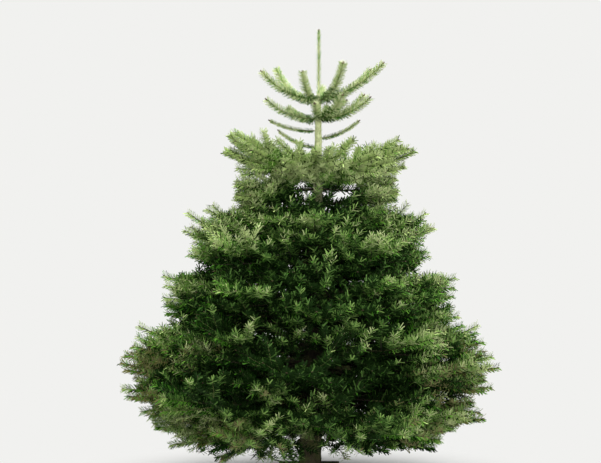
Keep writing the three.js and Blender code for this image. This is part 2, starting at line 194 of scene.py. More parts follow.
# Pairs of twigs: about one pair in each spacing and no more than most, from the share first of a limb to its free
# tip, which near the top of the tree is longer by the share longer. A twig's length is rest * what is left of its
# limb + least, and salt sets its seeds apart. Angles are in degrees.
ON_BOUGHS = dict(spacing=0.12, most=2, first=0.5, free=0.08, longer=1.1, rest=0.08, least=0.06, salt=11)
ON_SIDES = dict(spacing=0.11, most=2, first=0.25, free=0.065, longer=1.1, rest=0.5, least=0.042, salt=37)
ON_TOP_SIDES = dict(spacing=0.1, most=1, first=0.15, free=0.1, longer=0, rest=0.35, least=0.04, salt=37)
ON_TWIGS = dict(spacing=0.05, most=1, first=0.25, free=0.06, longer=0, rest=0.4, least=0.03, salt=71)
LONG_TWIG = 0.15  # only twigs longer than this have twigs of their own
LONGER_FROM, LONGER_OVER = 0.85, 0.3  # the height from which free tips get longer, and over how much height
TWIG_ANGLE, TWIG_ANGLE_SPREAD = 45, 8
TWIG_TILT, TWIG_TILT_SPREAD = 5, 20
TWIG_FORWARD, TWIG_LIFT = 0.42, 0.38

# How limbs are fitted to the outline
MOST_CUT, MOST_DRAWN = 0.08, 0.07  # how much a bough's reach is cut or drawn out at most, in metres
NEAR_OUTLINE = 0.15  # boughs that end farther inside aren't drawn out
DRAWN_FROM = 0.7  # nor are those with a smaller cosine of their turn
OBLIQUE = 0.88  # the least cosine of a turn by which the outline's reach is divided
FAN_MARGIN = 0.014  # how far the top whorl stands out of it
LARGEST_CUT = 0.6  # how much of a side limb or twig is cut at most, as a share of its length
CUT_BELOW = 1.32  # tips above this height aren't cut
BLUNT_BELOW, BLUNT_MARGIN = 0.62, 0.015  # tips below this height may stand out a little
TWIG_MARGIN = 0.01

# Ranks of limbs
BOUGH, SIDE, TWIG, TWIGLET, SHOOT, LEADER, STEM = range(7)

Limbs = namedtuple("Limbs", "start along bend length seed tier rank bare hang forks roll shade")

# The wood of each rank: a limb's length over its radius, and the radius that is added to that, in metres
SLIMNESS = [120, 115, 125, 125, 160, 125, 125]
LEAST_RADIUS = [0.003, 0.0018, 0.0013, 0.0013, 0.0013, 0.0013, 0.0013]
TAPER = 0.86
YOUNG_WOOD = 0.62  # how much thinner boughs and side limbs are at the top


# Settings


def linear(hex_code):
    """The linear colour of an sRGB hex value."""
    values = np.array([int(hex_code[i : i + 2], 16) for i in (1, 3, 5)]) / 255
    return tuple(np.where(values <= 0.04045, values / 12.92, ((values + 0.055) / 1.055) ** 2.4).tolist())


def colour(name, description, hex_code):
    """A colour setting whose default is an sRGB hex value."""
    return FloatVectorProperty(
        name=name, description=description, subtype="COLOR", size=3, min=0, max=1, default=linear(hex_code)
    )


def distance(name, description, default):
    """A length setting in metres."""
    return FloatProperty(
        name=name, description=description, default=default, min=0, subtype="DISTANCE", unit="LENGTH", precision=4
    )


class FirSizes(PropertyGroup):
    """Sizes of the tree and its stand."""

    top: distance("Top", "Height of the leader's tip above the floor", 1.8)
    lean: distance("Lean", "How far the tip stands to the right of the foot", 0.039)
    foot_radius: distance("Foot radius", "Radius that the trunk would have at the floor", 0.047)
    tip_radius: distance("Tip radius", "Radius of the leader", 0.0025)
    trunk_foot: distance("Foot of the trunk", "Height of its flat cut, inside the log", 0.0253)
    bark_relief: distance("Bark relief", "Depth of the bark's plates at the foot", 0.0022)
    needle_length: distance("Needle length", "Usual length of a full-grown needle", 0.028)
    needle_width: distance("Needle width", "Width of a bright needle, larger than life", 0.0043)
    log_radius: distance("Log radius", "Radius of the log before it was split", 0.1)
    log_length: distance("Log length", "Length of the half log", 0.24)
    log_height: distance("Log height", "Height of the half log", 0.08)
    crowding: IntProperty(name="Crowding", description="Needles to a metre of limb", default=470, min=50, max=3000)


class FirColours(PropertyGroup):
    """Colours of the tree and its stand."""

    # Needle tones go by age and by painted light and shade: young sunlit is partly painted light, deep is painted
    # shade
    fresh: colour("Fresh needles", "Needles of the top shoots", "#b1bd87")
    frosted: colour("Sunlit needles", "Needles of the outermost shoots", "#9fb56c")
    bright: colour("Bright needles", "Needles of young shoots", "#5f9230")
    mature: colour("Mature needles", "Needles of shoots two or three years old", "#3a6c18")
    deep: colour("Deep needles", "Needles in the shade of the crown", "#132f09")
    olive: colour("Olive needles", "Needles of ageing shoots low down", "#73743f")
    fresh_under: colour("Fresh undersides", "Their lower side", "#b8c192")
    frosted_under: colour("Sunlit undersides", "Their lower side", "#a3b179")
    bright_under: colour("Bright undersides", "Their lower side", "#76964b")
    mature_under: colour("Mature undersides", "Their lower side", "#47692b")
    deep_under: colour("Deep undersides", "Their lower side", "#1a3010")
    olive_under: colour("Olive undersides", "Their lower side", "#7d7c50")
    old_bark: colour("Old bark", "Bark at the foot of the trunk", "#4c4532")
    young_bark: colour("Young bark", "Bark of the upper trunk", "#c6cc9c")
    moss: colour("Moss", "Green film on the oldest bark", "#566030")
    old_twig: colour("Old twigs", "Bark of twigs inside the crown", "#2f2a19")
    young_twig: colour("Young twigs", "Bark of the last two years' shoots", "#6f7444")
    bud: colour("Buds", "Scales of the resting buds", "#4f3c22")
    wood: colour("Sawn wood", "End grain of the half log", "#b08d5f")
    backdrop: colour("Backdrop", "Even light behind the tree", "#f1f1ef")
    floor: colour("Floor", "Paint of the studio's floor, which the lights make as pale as the backdrop", "#acacab")


class FirLight(PropertyGroup):
    """Studio lights and camera."""

    right: FloatProperty(name="Right light", description="Soft light from the right", default=240, unit="POWER")
    left: FloatProperty(name="Left light", description="Soft light from the left", default=205, unit="POWER")
    front: FloatProperty(name="Front light", description="Weak soft light in front", default=135, unit="POWER")
    top: FloatProperty(name="Top light", description="Soft light from above", default=300, unit="POWER")
    ambient: FloatProperty(name="Ambient", description="Strength of the light from all round", default=0.12, min=0)
    lens: FloatProperty(name="Lens", description="Focal length", default=90.16, subtype="DISTANCE_CAMERA")


# Arithmetic


def chance(seed):
    """Numbers from 0 to 1 that look random and are always the same for the same seeds."""
    mixed = np.sin(np.asarray(seed, float) * 12.9898 + 78.233) * 43758.5453
    return mixed - np.floor(mixed)


def spread(seed, amount):
    """Numbers from -amount to amount, from seeds."""
    return (2 * chance(seed) - 1) * amount


def unit(vectors):
    """Vectors divided by their lengths."""
    return vectors / np.linalg.norm(vectors, axis=-1, keepdims=True)


def fan_out(counts):
    """For each of sum(counts) children, the row of its parent and its place among that parent's children."""
    rows = np.repeat(np.arange(len(counts)), counts)
    first = np.repeat(np.cumsum(counts) - counts, counts)
    return rows, np.arange(len(rows)) - first


def ripples(around, along, seed, waves, turns, pitch):
    """Relief on a round surface, mostly from -1 to 1: the sum of sine waves that close round it over 1.5 times the
    root of their number. Each has a whole number of turns up to the given one and a wave length along it no shorter
    than the given pitch."""
    total = np.zeros(np.broadcast(around, along).shape)
    for wave in range(waves):
        whole = np.floor(chance(seed + wave) * turns) + 1
        steep = 2 * np.pi * spread(seed + wave + 0.4, 1) / pitch
        total += np.sin(whole * around + steep * along + 6.28 * chance(seed + wave + 0.7))
    return total / np.sqrt(waves) / 1.5


# Limbs


def take(limbs, rows):
    """The limbs in the given rows."""
    return Limbs(*(column[rows] for column in limbs))


def together(*groups):
    """Several groups of limbs as one."""
    return Limbs(*(np.concatenate(columns) for columns in zip(*groups)))


def frames(limbs, share):
    """The point of each limb at a share of its length, with the ways ahead, to its left and over it there.

    A limb is a bent line: point = start + length * (along * s + bend * s * s / 2), and ahead is along + bend * s."""
    s = share[:, None]
    point = limbs.start + limbs.length[:, None] * (limbs.along * s + limbs.bend * s * s / 2)
    ahead = unit(limbs.along + limbs.bend * s)
    side = unit(np.cross(UP, ahead) + 1e-9)
    return point, ahead, side, np.cross(ahead, side)


def point_at(limbs, share):
    """The point of each limb at one share of its length."""
    return frames(limbs, np.full(len(limbs.length), float(share)))[0]


def trunk_x(z, sizes):
    """The trunk's axis leans, and straightens towards the tip: x = lean * (1 - (1 - z / top) ^ 2)."""
    return sizes.lean * (1 - (1 - z / sizes.top) ** 2)


def trunk_radius(z, sizes):
    """The trunk's taper: foot radius * (1 - z / top) ^ 0.9, and never less than the leader's radius.

    Above the upper collar, over 20 mm, it narrows by half to the leader."""
    above = np.clip((z - COLLARS[0]["height"] - 0.005) / 0.02, 0, 1)
    taper = sizes.foot_radius * np.maximum(1 - z / sizes.top, 0) ** 0.9
    return np.maximum(sizes.tip_radius, taper * (1 - 0.5 * above))


def from_trunk(height, turn, rise, lift, length, sizes, seed, tier, rank, bare, hang, forks, shade):
    """Limbs that set off from the trunk's axis.

    A limb's slope goes from rise to lift, so along = (cos rise, sin rise) and along + bend = (cos lift, sin lift)
    in the upright plane through its turn."""
    zero = np.zeros_like(length)
    out = np.stack([np.cos(turn), np.sin(turn), zero], 1)
    along, end = (out * np.cos(slope)[:, None] + UP * np.sin(slope)[:, None] for slope in (rise, lift))
    start = np.stack([zero + trunk_x(height, sizes), zero, zero + height], 1)
    own = [zero + value for value in (tier, rank, bare, hang, forks, 0, shade)]
    return Limbs(start, along, end - along, length, seed, *own)


def whorl_limbs(specs, first_tier, rank, sizes):
    """The limbs of whorls or collars, one for each turn."""
    groups = []
    for tier, spec in enumerate(specs, start=first_tier):
        turns = np.array(spec["turns"], float)
        seed = 100.0 * tier + 20 * np.arange(len(turns))
        whorl = rank == BOUGH
        length = np.array(spec["length"]) * (1 + spread(seed + 13, LENGTH_SPREAD if whorl else 0))
        if specs is WHORLS:
            length = length * (1 - LEFTWARD * spec["height"] * np.cos(np.radians(turns)))
        rise = np.array(spec["rise"]) + 0 * turns
        lift = np.array(spec["lift"]) + spread(seed + 15, LIFT_SPREAD if whorl else 0)
        own = [spec.get(key, usual) for key, usual in (("bare", 0), ("hang", 0), ("forks", FORKS), ("shade", 0))]
        groups.append(from_trunk(spec["height"], *np.radians([turns, rise, lift]), length, sizes, seed, tier, rank,
                                 *own))
    return together(*groups)


def fork_off(parents, share, hand, angle, tilt, length, seed, rank, roll, forward, lift):
    """Limbs that fork off parents at a share of their length, to their left where hand is 1.

    A limb sets off at angle from its parent, tilted up by tilt, and turns a little forwards and up on its way."""
    point, ahead, side, over = frames(parents, share)
    angle, tilt = np.radians(angle)[:, None], np.radians(tilt)[:, None]
    outwards = side * hand[:, None] * np.cos(tilt) + over * np.sin(tilt)
    along = ahead * np.cos(angle) + outwards * np.sin(angle)
    bend = ahead * forward + UP * lift
    zero = np.zeros_like(length)
    return Limbs(point, along, bend, length, seed, parents.tier, zero + rank, zero, parents.hang, zero, roll,
                 parents.shade)


def side_limbs(boughs):
    """The side limbs of the boughs: the pairs that the solids have, and below the top one more pair between each two
    of them."""
    rows, order = fan_out((4 * boughs.forks).astype(int))
    mine = take(boughs, rows)
    foot = mine.start[:, 2]
    fork, hand = (order // 2) / 2, order % 2 * 2.0 - 1
    between = fork % 1 > 0
    first = np.maximum(mine.bare, FIRST_FORK)
    last = np.where(foot > FAN_FROM, TOP_LAST_FORK, LAST_FORK)
    share = first + (last - first) * (fork + FORK_SETBACK) / mine.forks
    own = mine.seed + 2 * fork + (hand + 1) / 2 + np.where(between, 0.37, 0)
    way = np.where(fork % 2 >= 1, -1.0, 1.0)
    angle = SIDE_ANGLE + spread(own, SIDE_ANGLE_SPREAD)
    sway = np.where(between, spread(own + 0.9, BETWEEN_SWAY * SIDE_SWAY), way * SIDE_SWAY)
    flat = (np.abs(mine.along[:, 0]) > SIDEWAYS) & (foot < SPREADING_BELOW)
    tilt = mine.hang + (sway + spread(own + 0.3, SIDE_SWAY / 2)) * np.where(flat, FLATTER, 1)
    wanted = SIDE_SHARE * mine.length * (1 - share) + SIDE_MINIMUM
    opening = np.tan(np.radians(SIDE_SLICE))
    turn = np.radians(angle)
    room = share * mine.length * opening / (np.sin(turn) - opening * np.cos(turn))
    length = np.minimum(wanted, room) * np.where(between, BETWEEN_SHARE, 1)
    roll = np.where(between, spread(own + 0.6, SPRAY_ROLL), way * SPRAY_ROLL)
    forward = SIDE_FORWARD + np.where(foot > TOP_FROM, TOP_FORWARD, 0)[:, None]
    made = fork_off(mine, share, hand, angle, tilt, length, own, SIDE, roll, forward, SIDE_LIFT)
    return take(made, ~between | (foot < FULL_BELOW))


def twigs(parents, rank, spacing, most, first, free, longer, rest, least, salt):
    """Pairs of twigs along limbs up to their free tips, as the tables of twigs say.

    A twig is hardly longer than its own distance from its limb's foot."""
    free = free * (1 + longer * np.clip((parents.start[:, 2] - LONGER_FROM) / LONGER_OVER, 0, 1))
    last = np.maximum(1 - free / parents.length, first + 0.15)
    pairs = np.clip(np.round(parents.length * (last - first) / spacing), 1, most).astype(int)
    rows, order = fan_out(2 * pairs)
    mine = take(parents, rows)
    hand = order % 2 * 2.0 - 1
    own = mine.seed * 1.7 + salt + 3.1 * order
    share = first + (last[rows] - first) * (order // 2 + 0.7 + spread(own, 0.2)) / pairs[rows]
    angle = TWIG_ANGLE + spread(own + 0.2, TWIG_ANGLE_SPREAD)
    tilt = hand * mine.roll * 0.8 + spread(own + 0.5, TWIG_TILT_SPREAD) + TWIG_TILT
    length = (rest * mine.length * (1 - share) + least) * (1 + spread(own + 0.8, 0.15))
    length = np.minimum(length, share * mine.length * 0.9 + 0.02)
    return fork_off(mine, share, hand, angle, tilt, length, own, rank, 0.4 * mine.roll, TWIG_FORWARD, TWIG_LIFT)


def lobe_boughs(sizes):
    """Boughs that end where the photo's lobes do.

    A bough's reach is length * (cos rise + cos lift) / 2 and its climb length * (sin rise + sin lift) / 2."""
    across, up, lift, forks = np.array(LOBES).T
    rise, lift = np.radians(LOBE_RISE) + 0 * lift, np.radians(lift)
    length = (np.abs(across - trunk_x(up, sizes)) - LOBE_NEEDLES) * 2 / (np.cos(rise) + np.cos(lift))
    height = up - length * (np.sin(rise) + np.sin(lift)) / 2
    seed = 9000.0 + 20 * np.arange(len(up))
    turn = np.where(across < 0, np.pi, 0) + np.radians(spread(seed, LOBE_SWERVE))
    return from_trunk(height, turn, rise, lift, length, sizes, seed, tier_at(height), BOUGH, 0, 0, forks, 0)


def reach_at(height):
    """How far the whorls' boughs reach at a height, between whorls in proportion."""
    heights, lengths = zip(*((spec["height"], np.mean(spec["length"])) for spec in WHORLS[::-1]))
    return np.interp(height, heights, lengths)


def outline_at(height, turn):
    """How far the crown reaches at a height: between its left and its right outline by the cosine of the turn."""
    left, right = (np.interp(height, OUTLINE[:, 0], OUTLINE[:, side]) for side in (1, 2))
    return (left + right) / 2 + (right - left) / 2 * np.cos(turn)


def fit_to_outline(boughs):
    """The boughs that end near the crown's outline, cut to it, or to the left and the right drawn out to it.

    A bough is changed by the outline's reach at the height of its tip less the tip's own reach, within limits."""
    end = point_at(boughs, 1)
    turn = np.arctan2(boughs.along[:, 1], boughs.along[:, 0])
    reach = np.hypot(end[:, 0] - boughs.start[:, 0], end[:, 1])
    sideways = np.abs(np.cos(turn))
    margin = np.where(boughs.start[:, 2] > FAN_FROM, FAN_MARGIN, 0.0)
    spare = outline_at(end[:, 2], turn) / np.clip(sideways, OBLIQUE, 1) + margin - reach
    free = (spare < NEAR_OUTLINE) & (sideways > DRAWN_FROM) & (boughs.start[:, 2] < SPREADING_BELOW)
    change = np.clip(spare, -MOST_CUT, 0) + np.where(free, np.clip(spare, 0, MOST_DRAWN), 0)
    return boughs._replace(length=boughs.length * (1 + change / reach))


def cut_to_outline(limbs, margin, sizes):
    """The limbs, cut where their tips stand out of the crown's outline by more than the margin."""
    end = point_at(limbs, 1)
    foot, tip = (np.hypot(point[:, 0] - trunk_x(point[:, 2], sizes), point[:, 1]) for point in (limbs.start, end))
    turn = np.arctan2(end[:, 1], end[:, 0])
    over = tip - outline_at(end[:, 2], turn) - margin - np.where(end[:, 2] < BLUNT_BELOW, BLUNT_MARGIN, 0)
    cut = np.clip(over / np.maximum(tip - foot, 0.3 * limbs.length), 0, LARGEST_CUT)
    return limbs._replace(length=limbs.length * np.where(end[:, 2] < CUT_BELOW, 1 - cut, 1))


def tier_at(height):
    """The whorl that is nearest in height."""
    heights = np.array([whorl["height"] for whorl in WHORLS])
    return FIRST_TIER + np.abs(height[:, None] - heights).argmin(1)


def filler_boughs(sizes):
    """Weaker boughs between the whorls, each given to the whorl that is nearest in height.

    A bough's length is a share of the outline at the height of its tip, over the cosine of its mean slope."""
    count, lowest, highest = (FILLERS[key] for key in ("count", "lowest", "highest"))
    climb = np.arange(count)
    height = lowest + (highest - lowest) * (climb + 0.5) / count
    seed = 7000.0 + 20 * climb
    turn = (GOLDEN_TURN * climb + spread(seed, 10)) % 360
    shown = np.ones(len(climb), bool)
    for low, high, first, last in GAPS:
        shown &= ~((height > low) & (height < high) & (turn >= first) & (turn <= last))
    height, seed, turn = height[shown], seed[shown], np.radians(turn[shown])
    rise = np.radians(FILLERS["rise"] + spread(seed + 1, 8))
    lift = np.radians(FILLERS["lift"] + spread(seed + 2, 10))
    slope = (rise + lift) / 2
    reach = outline_at(height + reach_at(height) * np.tan(slope), turn)
    length = (FILLERS["share"] + spread(seed + 3, FILLERS["share_spread"])) * reach / np.cos(slope)
    return from_trunk(height, turn, rise, lift, length, sizes, seed, tier_at(height), BOUGH, 0, 0,
                      FILLERS["forks"], FILLERS["shade"])


def upright(low, high, rank, sizes):
    """The trunk's axis between two heights, as a limb."""
    start = np.array([[trunk_x(low, sizes), 0, low]])
    way = np.array([[trunk_x(high, sizes), 0, high]]) - start
    length = np.linalg.norm(way, axis=1)
    one = np.ones(1)
    zero = 0 * one
    return Limbs(start, way / length, 0 * way, length, one * rank, one, one * rank, zero, zero, zero, zero, zero)


def grow(sizes):
    """All limbs that bear needles: boughs, side limbs, twigs and twiglets, the single shoots, and the trunk's own
    axis above the whorls."""
    whorls = whorl_limbs(WHORLS, FIRST_TIER, BOUGH, sizes)
    extra = whorl_limbs(EXTRA_BOUGHS, EXTRA_SEEDS, BOUGH, sizes)
    low = extra.start[:, 2] < DROOPING_BELOW
    extra = extra._replace(tier=np.where(low, LOW_TIER, tier_at(extra.start[:, 2])))
    boughs = together(fit_to_outline(together(whorls, extra)), filler_boughs(sizes), lobe_boughs(sizes))
    sides = cut_to_outline(side_limbs(boughs), 0.0, sizes)
    on_boughs = twigs(take(boughs, boughs.start[:, 2] < TOP_FROM), TWIG, **ON_BOUGHS)
    high = sides.start[:, 2] >= TOP_FROM
    on_sides = together(twigs(take(sides, ~high), TWIG, **ON_SIDES), twigs(take(sides, high), TWIG, **ON_TOP_SIDES))
    on_boughs, on_sides = (cut_to_outline(limbs, TWIG_MARGIN, sizes) for limbs in (on_boughs, on_sides))
    on_twigs = twigs(take(on_sides, on_sides.length > LONG_TWIG), TWIGLET, **ON_TWIGS)
    shoots = together(whorl_limbs(COLLARS, 1, SHOOT, sizes), whorl_limbs(LONE_SHOOTS, LONE_SEEDS, SHOOT, sizes))
    collar = COLLARS[0]["height"]
    leader = upright(collar, sizes.top - 0.008, LEADER, sizes)
    stem = upright(WHORLS[0]["height"] + 0.03, collar, STEM, sizes)
    return together(boughs, sides, on_boughs, on_sides, on_twigs, shoots, leader, stem)


def by_rank(limbs, values):
    """For each limb, the value that a list holds for its rank."""
    return np.array(values)[limbs.rank.astype(int)]


def limb_radius(limbs, share):
    """Radius of a limb's wood: (its rank's least + length / slimness) * (1 - taper * share), less at the top."""
    young = np.where((limbs.rank <= SIDE) & (limbs.start[:, 2] > TOP_FROM), YOUNG_WOOD, 1)
    whole = by_rank(limbs, LEAST_RADIUS) + limbs.length / by_rank(limbs, SLIMNESS)
    return young * whole * (1 - TAPER * share)


# Meshes


def make_mesh(name, points, groups, materials, looks=None, smooth=True):
    """An object of the given points. Each group is an array of faces with the same number of corners, and looks
    gives each face its material's place in materials."""
    mesh = bpy.data.meshes.new(name)
    mesh.vertices.add(len(points))
    mesh.vertices.foreach_set("co", np.ascontiguousarray(points, dtype=np.float32).ravel())
    corners = np.concatenate([group.ravel() for group in groups]).astype(np.int32)
    sizes = np.concatenate([np.full(len(group), group.shape[1]) for group in groups])
    mesh.loops.add(len(corners))
    mesh.loops.foreach_set("vertex_index", corners)
    mesh.polygons.add(len(sizes))
    mesh.polygons.foreach_set("loop_start", (np.cumsum(sizes) - sizes).astype(np.int32))
    if looks is not None:
        mesh.polygons.foreach_set("material_index", np.asarray(looks, dtype=np.int32))
    mesh.polygons.foreach_set("use_smooth", np.full(len(sizes), smooth))
    for material in materials:
        mesh.materials.append(material)
    mesh.update(calc_edges=True)
    if mesh.validate():
        raise RuntimeError(f"{name} has faces that are not sound")
    made = bpy.data.objects.new(name, mesh)
    bpy.context.scene.collection.objects.link(made)
    return made


def finish_piece(piece, slot, *nodes):
    """Ties a piece to the tree's one body and hides the CAD nodes that it stands for. Its finish, slot, is not used.
    """
    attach(piece, "root")
    if nodes:
        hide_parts(*nodes)


def tube_faces(count, rings, sides):
    """Faces of closed tubes: quads between their rings, and triangles to a pole at either end.

    A tube's points are its rings in order, each anticlockwise seen from its tip, and then its two poles."""
    each = rings * sides + 2
    first = np.arange(count)[:, None] * each
    ring, side = [grid.ravel() for grid in np.meshgrid(np.arange(rings - 1), np.arange(sides), indexing="ij")]
    after = (side + 1) % sides
    quads = np.stack([ring * sides + side, ring * sides + after, (ring + 1) * sides + after,
                      (ring + 1) * sides + side])
    around = np.arange(sides)
    ahead = (around + 1) % sides
    foot = np.stack([np.full(sides, each - 2), ahead, around])
    last = (rings - 1) * sides
    tip = np.stack([np.full(sides, each - 1), last + around, last + ahead])
    return tuple((first[:, :, None] + cells.T.reshape(1, -1, len(cells))).reshape(-1, len(cells))
                 for cells in (quads, np.concatenate([foot, tip], 1)))


def tube_points(limbs, start, end, rings, sides, radius_at):
    """Points of tubes round limbs from one share of their length to another.

    Point = limb's point + radius * (cos a * side + sin a * over) at each angle a of each ring."""
    shares = np.linspace(0, 1, rings)
    count = len(limbs.length)
    share = (start[:, None] + (end - start)[:, None] * shares).ravel()
    mine = take(limbs, np.repeat(np.arange(count), rings))
    point, ahead, side, over = frames(mine, share)
    angle = 2 * np.pi * np.arange(sides) / sides
    radius = radius_at(mine, share, angle)
    ring = np.cos(angle)[:, None] * side[:, None] + np.sin(angle)[:, None] * over[:, None]
    points = (point[:, None] + radius[:, :, None] * ring).reshape(count, rings * sides, 3)
    point, ahead = point.reshape(count, rings, 3), ahead.reshape(count, rings, 3)
    cap = radius.reshape(count, rings, sides).mean(2)
    poles = np.stack([point[:, 0], point[:, -1] + ahead[:, -1] * cap[:, -1:] * 0.6], 1)
    return np.concatenate([points, poles], 1).reshape(-1, 3)


# Materials


def add(tree, kind, settings=(), links=()):
    """Adds one node. settings gives its own properties and unlinked inputs, and links its joined inputs."""
    made = tree.nodes.new(kind)
    for name, value in dict(settings).items():
        if isinstance(name, int) or name in made.inputs:
            made.inputs[name].default_value = value
        else:
            setattr(made, name, value)
    for name, source in dict(links).items():
        tree.links.new(source, made.inputs[name])
    return made


def brought(tree, value, low, high, to_low, to_high):
    """A node's value between low and high, brought in proportion to lie between to_low and to_high."""
    settings = {"From Min": low, "From Max": high, "To Min": to_low, "To Max": to_high}
    return add(tree, "ShaderNodeMapRange", settings, {"Value": value}).outputs[0]


def scaled(tree, colour_node, factor):
    """A node's colour, made lighter or darker by a factor."""
    return add(tree, "ShaderNodeVectorMath", {"operation": "SCALE"}, {0: colour_node, "Scale": factor}).outputs[0]


def new_material(name, settings):
    """A material with one Principled shader, whose constants are set on its own sockets."""
    material = bpy.data.materials.new(name)
    material.use_nodes = True
    tree = material.node_tree
    tree.nodes.clear()
    shader = add(tree, "ShaderNodeBsdfPrincipled", settings)
    add(tree, "ShaderNodeOutputMaterial", (), {"Surface": shader.outputs[0]})
    return material, tree, shader


def opaque(values):
    """A colour with its alpha."""
    return (*values[:3], 1.0)


TONES = ("fresh", "frosted", "bright", "mature", "deep", "olive")
FRESH, YOUNG_SUNLIT, BRIGHT, MATURE, DEEP, OLIVE = range(6)


def needle_materials(colours):
    """Fir needle cuticle: flat leathery blades, waxy above and paler below, where two bands of bloom run.

    The wax gives a soft wide gloss that turns the sunlit fans silvery. One plain colour for each tone and side."""
    made = []
    for tone in TONES:
        for side, roughness in (("", 0.5), ("_under", 0.7)):
            # Painted shade: the deep tone is a darker copy with less gloss; the young sunlit one is partly painted
            # light
            settings = {
                "Base Color": opaque(getattr(colours, tone + side)),
                "Roughness": roughness,
                "IOR": 1.45,
                "Specular IOR Level": 0.06 if tone == "deep" else 0.25,
            }
            made.append(new_material(f"{tone}_fir_needle{side}", settings)[0])
    return made


def twig_materials(colours):
    """Thin smooth bark of twigs: grey-brown on old wood and yellow-green on young shoots, dull and dry."""
    old = new_material("old_twig_bark", {"Base Color": opaque(colours.old_twig), "Roughness": 0.85})[0]
    young = new_material("young_twig_bark", {"Base Color": opaque(colours.young_twig), "Roughness": 0.7})[0]
    return [old, young]


def bud_material(colours):
    """Bud scales: papery and brown, with a thin coat of resin that gives each a small highlight."""
    settings = {"Base Color": opaque(colours.bud), "Roughness": 0.5, "Coat Weight": 0.2, "Coat Roughness": 0.3}
    return new_material("resinous_bud_scales", settings)[0]


def bark_material(name, colours, young_from, young_to):
    """Bark of a young fir: thin and smooth, grey-brown at the foot, darkened inside the crown by painted shade,
    with a patchy green film, and yellow-green above. Resin blisters lie some 6 mm apart and fine cross cracks some
    2 mm apart. It looks dry."""
    material, tree, shader = new_material(name, {"Roughness": 0.85, "Specular IOR Level": 0.3})
    place = add(tree, "ShaderNodeTexCoord").outputs["Object"]
    patches = add(tree, "ShaderNodeTexNoise", {"Scale": 22.0, "Detail": 5.0, "Roughness": 0.6}, {"Vector": place})
    flat = add(tree, "ShaderNodeMapping", {"Scale": (1.0, 1.0, 3.0)}, {"Vector": place})
    cracks = add(tree, "ShaderNodeTexNoise", {"Scale": 160.0, "Detail": 4.0, "Roughness": 0.7},
                 {"Vector": flat.outputs[0]})
    blisters = add(tree, "ShaderNodeTexVoronoi", {"Scale": 150.0, "Randomness": 1.0}, {"Vector": place})
    height = add(tree, "ShaderNodeSeparateXYZ", (), {0: place}).outputs["Z"]
    wavering = add(tree, "ShaderNodeMath", {"operation": "MULTIPLY_ADD", 1: 0.2},
                   {0: patches.outputs["Fac"], 2: height})
    young = brought(tree, wavering.outputs[0], young_from + 0.1, young_to + 0.1, 0.0, 1.0)
    # Painted shade: from 0.15 m up the old bark darkens to 0.35 of its colour, where the crown shades the trunk
    inside = brought(tree, height, 0.15, 0.3, 1.0, 0.35)
    painted_shade_bark = add(tree, "ShaderNodeVectorMath", {"operation": "SCALE", 0: colours.old_bark[:3]}, {"Scale": inside})
    aged = add(tree, "ShaderNodeMix", {"data_type": "RGBA", 7: opaque(colours.young_bark)},
               {0: young, 6: painted_shade_bark.outputs[0]})
    film = brought(tree, patches.outputs["Fac"], 0.45, 0.62, 0.0, 0.75)
    mossy = add(tree, "ShaderNodeMix", {"data_type": "RGBA", 7: opaque(colours.moss)},
                {0: film, 6: aged.outputs[2]})
    # The colour is darker and lighter with the cracks' relief, from 0.45 to 1.15 times
    crack_tone = brought(tree, cracks.outputs["Fac"], 0.3, 0.62, 0.45, 1.15)
    tree.links.new(scaled(tree, mossy.outputs[2], crack_tone), shader.inputs["Base Color"])
    grain = add(tree, "ShaderNodeBump", {"Strength": 0.7, "Distance": 0.0012}, {"Height": cracks.outputs["Fac"]})
    raised = add(tree, "ShaderNodeBump", {"Strength": 0.35, "Distance": 0.001, "invert": True},
                 {"Height": blisters.outputs["Distance"], "Normal": grain.outputs[0]})
    tree.links.new(raised.outputs[0], shader.inputs["Normal"])
    return material


def sawn_wood_material(colours, log_axis_z):
    """End grain of a conifer log, sawn rough and weathered: dark and pale rings round the log's own axis and fine
    marks. The rings are some 22 mm apart, much wider than a fir's yearly growth. It is dull and dry."""
    material, tree, shader = new_material("sawn_fir_wood", {"Roughness": 0.8})
    place = add(tree, "ShaderNodeTexCoord").outputs["Object"]
    centred = add(tree, "ShaderNodeMapping", {"Location": (0.0, 0.0, -log_axis_z)}, {"Vector": place})
    rings = add(tree, "ShaderNodeTexWave",
                {"wave_type": "RINGS", "rings_direction": "X", "Scale": 14.0, "Distortion": 1.4, "Detail": 2.0,
                 "Detail Scale": 1.2},
                {"Vector": centred.outputs[0]})
    fibres = add(tree, "ShaderNodeTexNoise", {"Scale": 260.0, "Detail": 3.0}, {"Vector": place})
    dark = tuple(0.45 * part for part in colours.wood)
    grain = add(tree, "ShaderNodeMix", {"data_type": "RGBA", 6: opaque(dark), 7: opaque(colours.wood)},
                {0: rings.outputs["Fac"]})
    wear = brought(tree, fibres.outputs["Fac"], 0.3, 0.7, 0.6, 1.1)
    tree.links.new(scaled(tree, grain.outputs[2], wear), shader.inputs["Base Color"])
    rough = add(tree, "ShaderNodeBump", {"Strength": 0.5, "Distance": 0.0008}, {"Height": fibres.outputs["Fac"]})
    tree.links.new(rough.outputs[0], shader.inputs["Normal"])
    return material


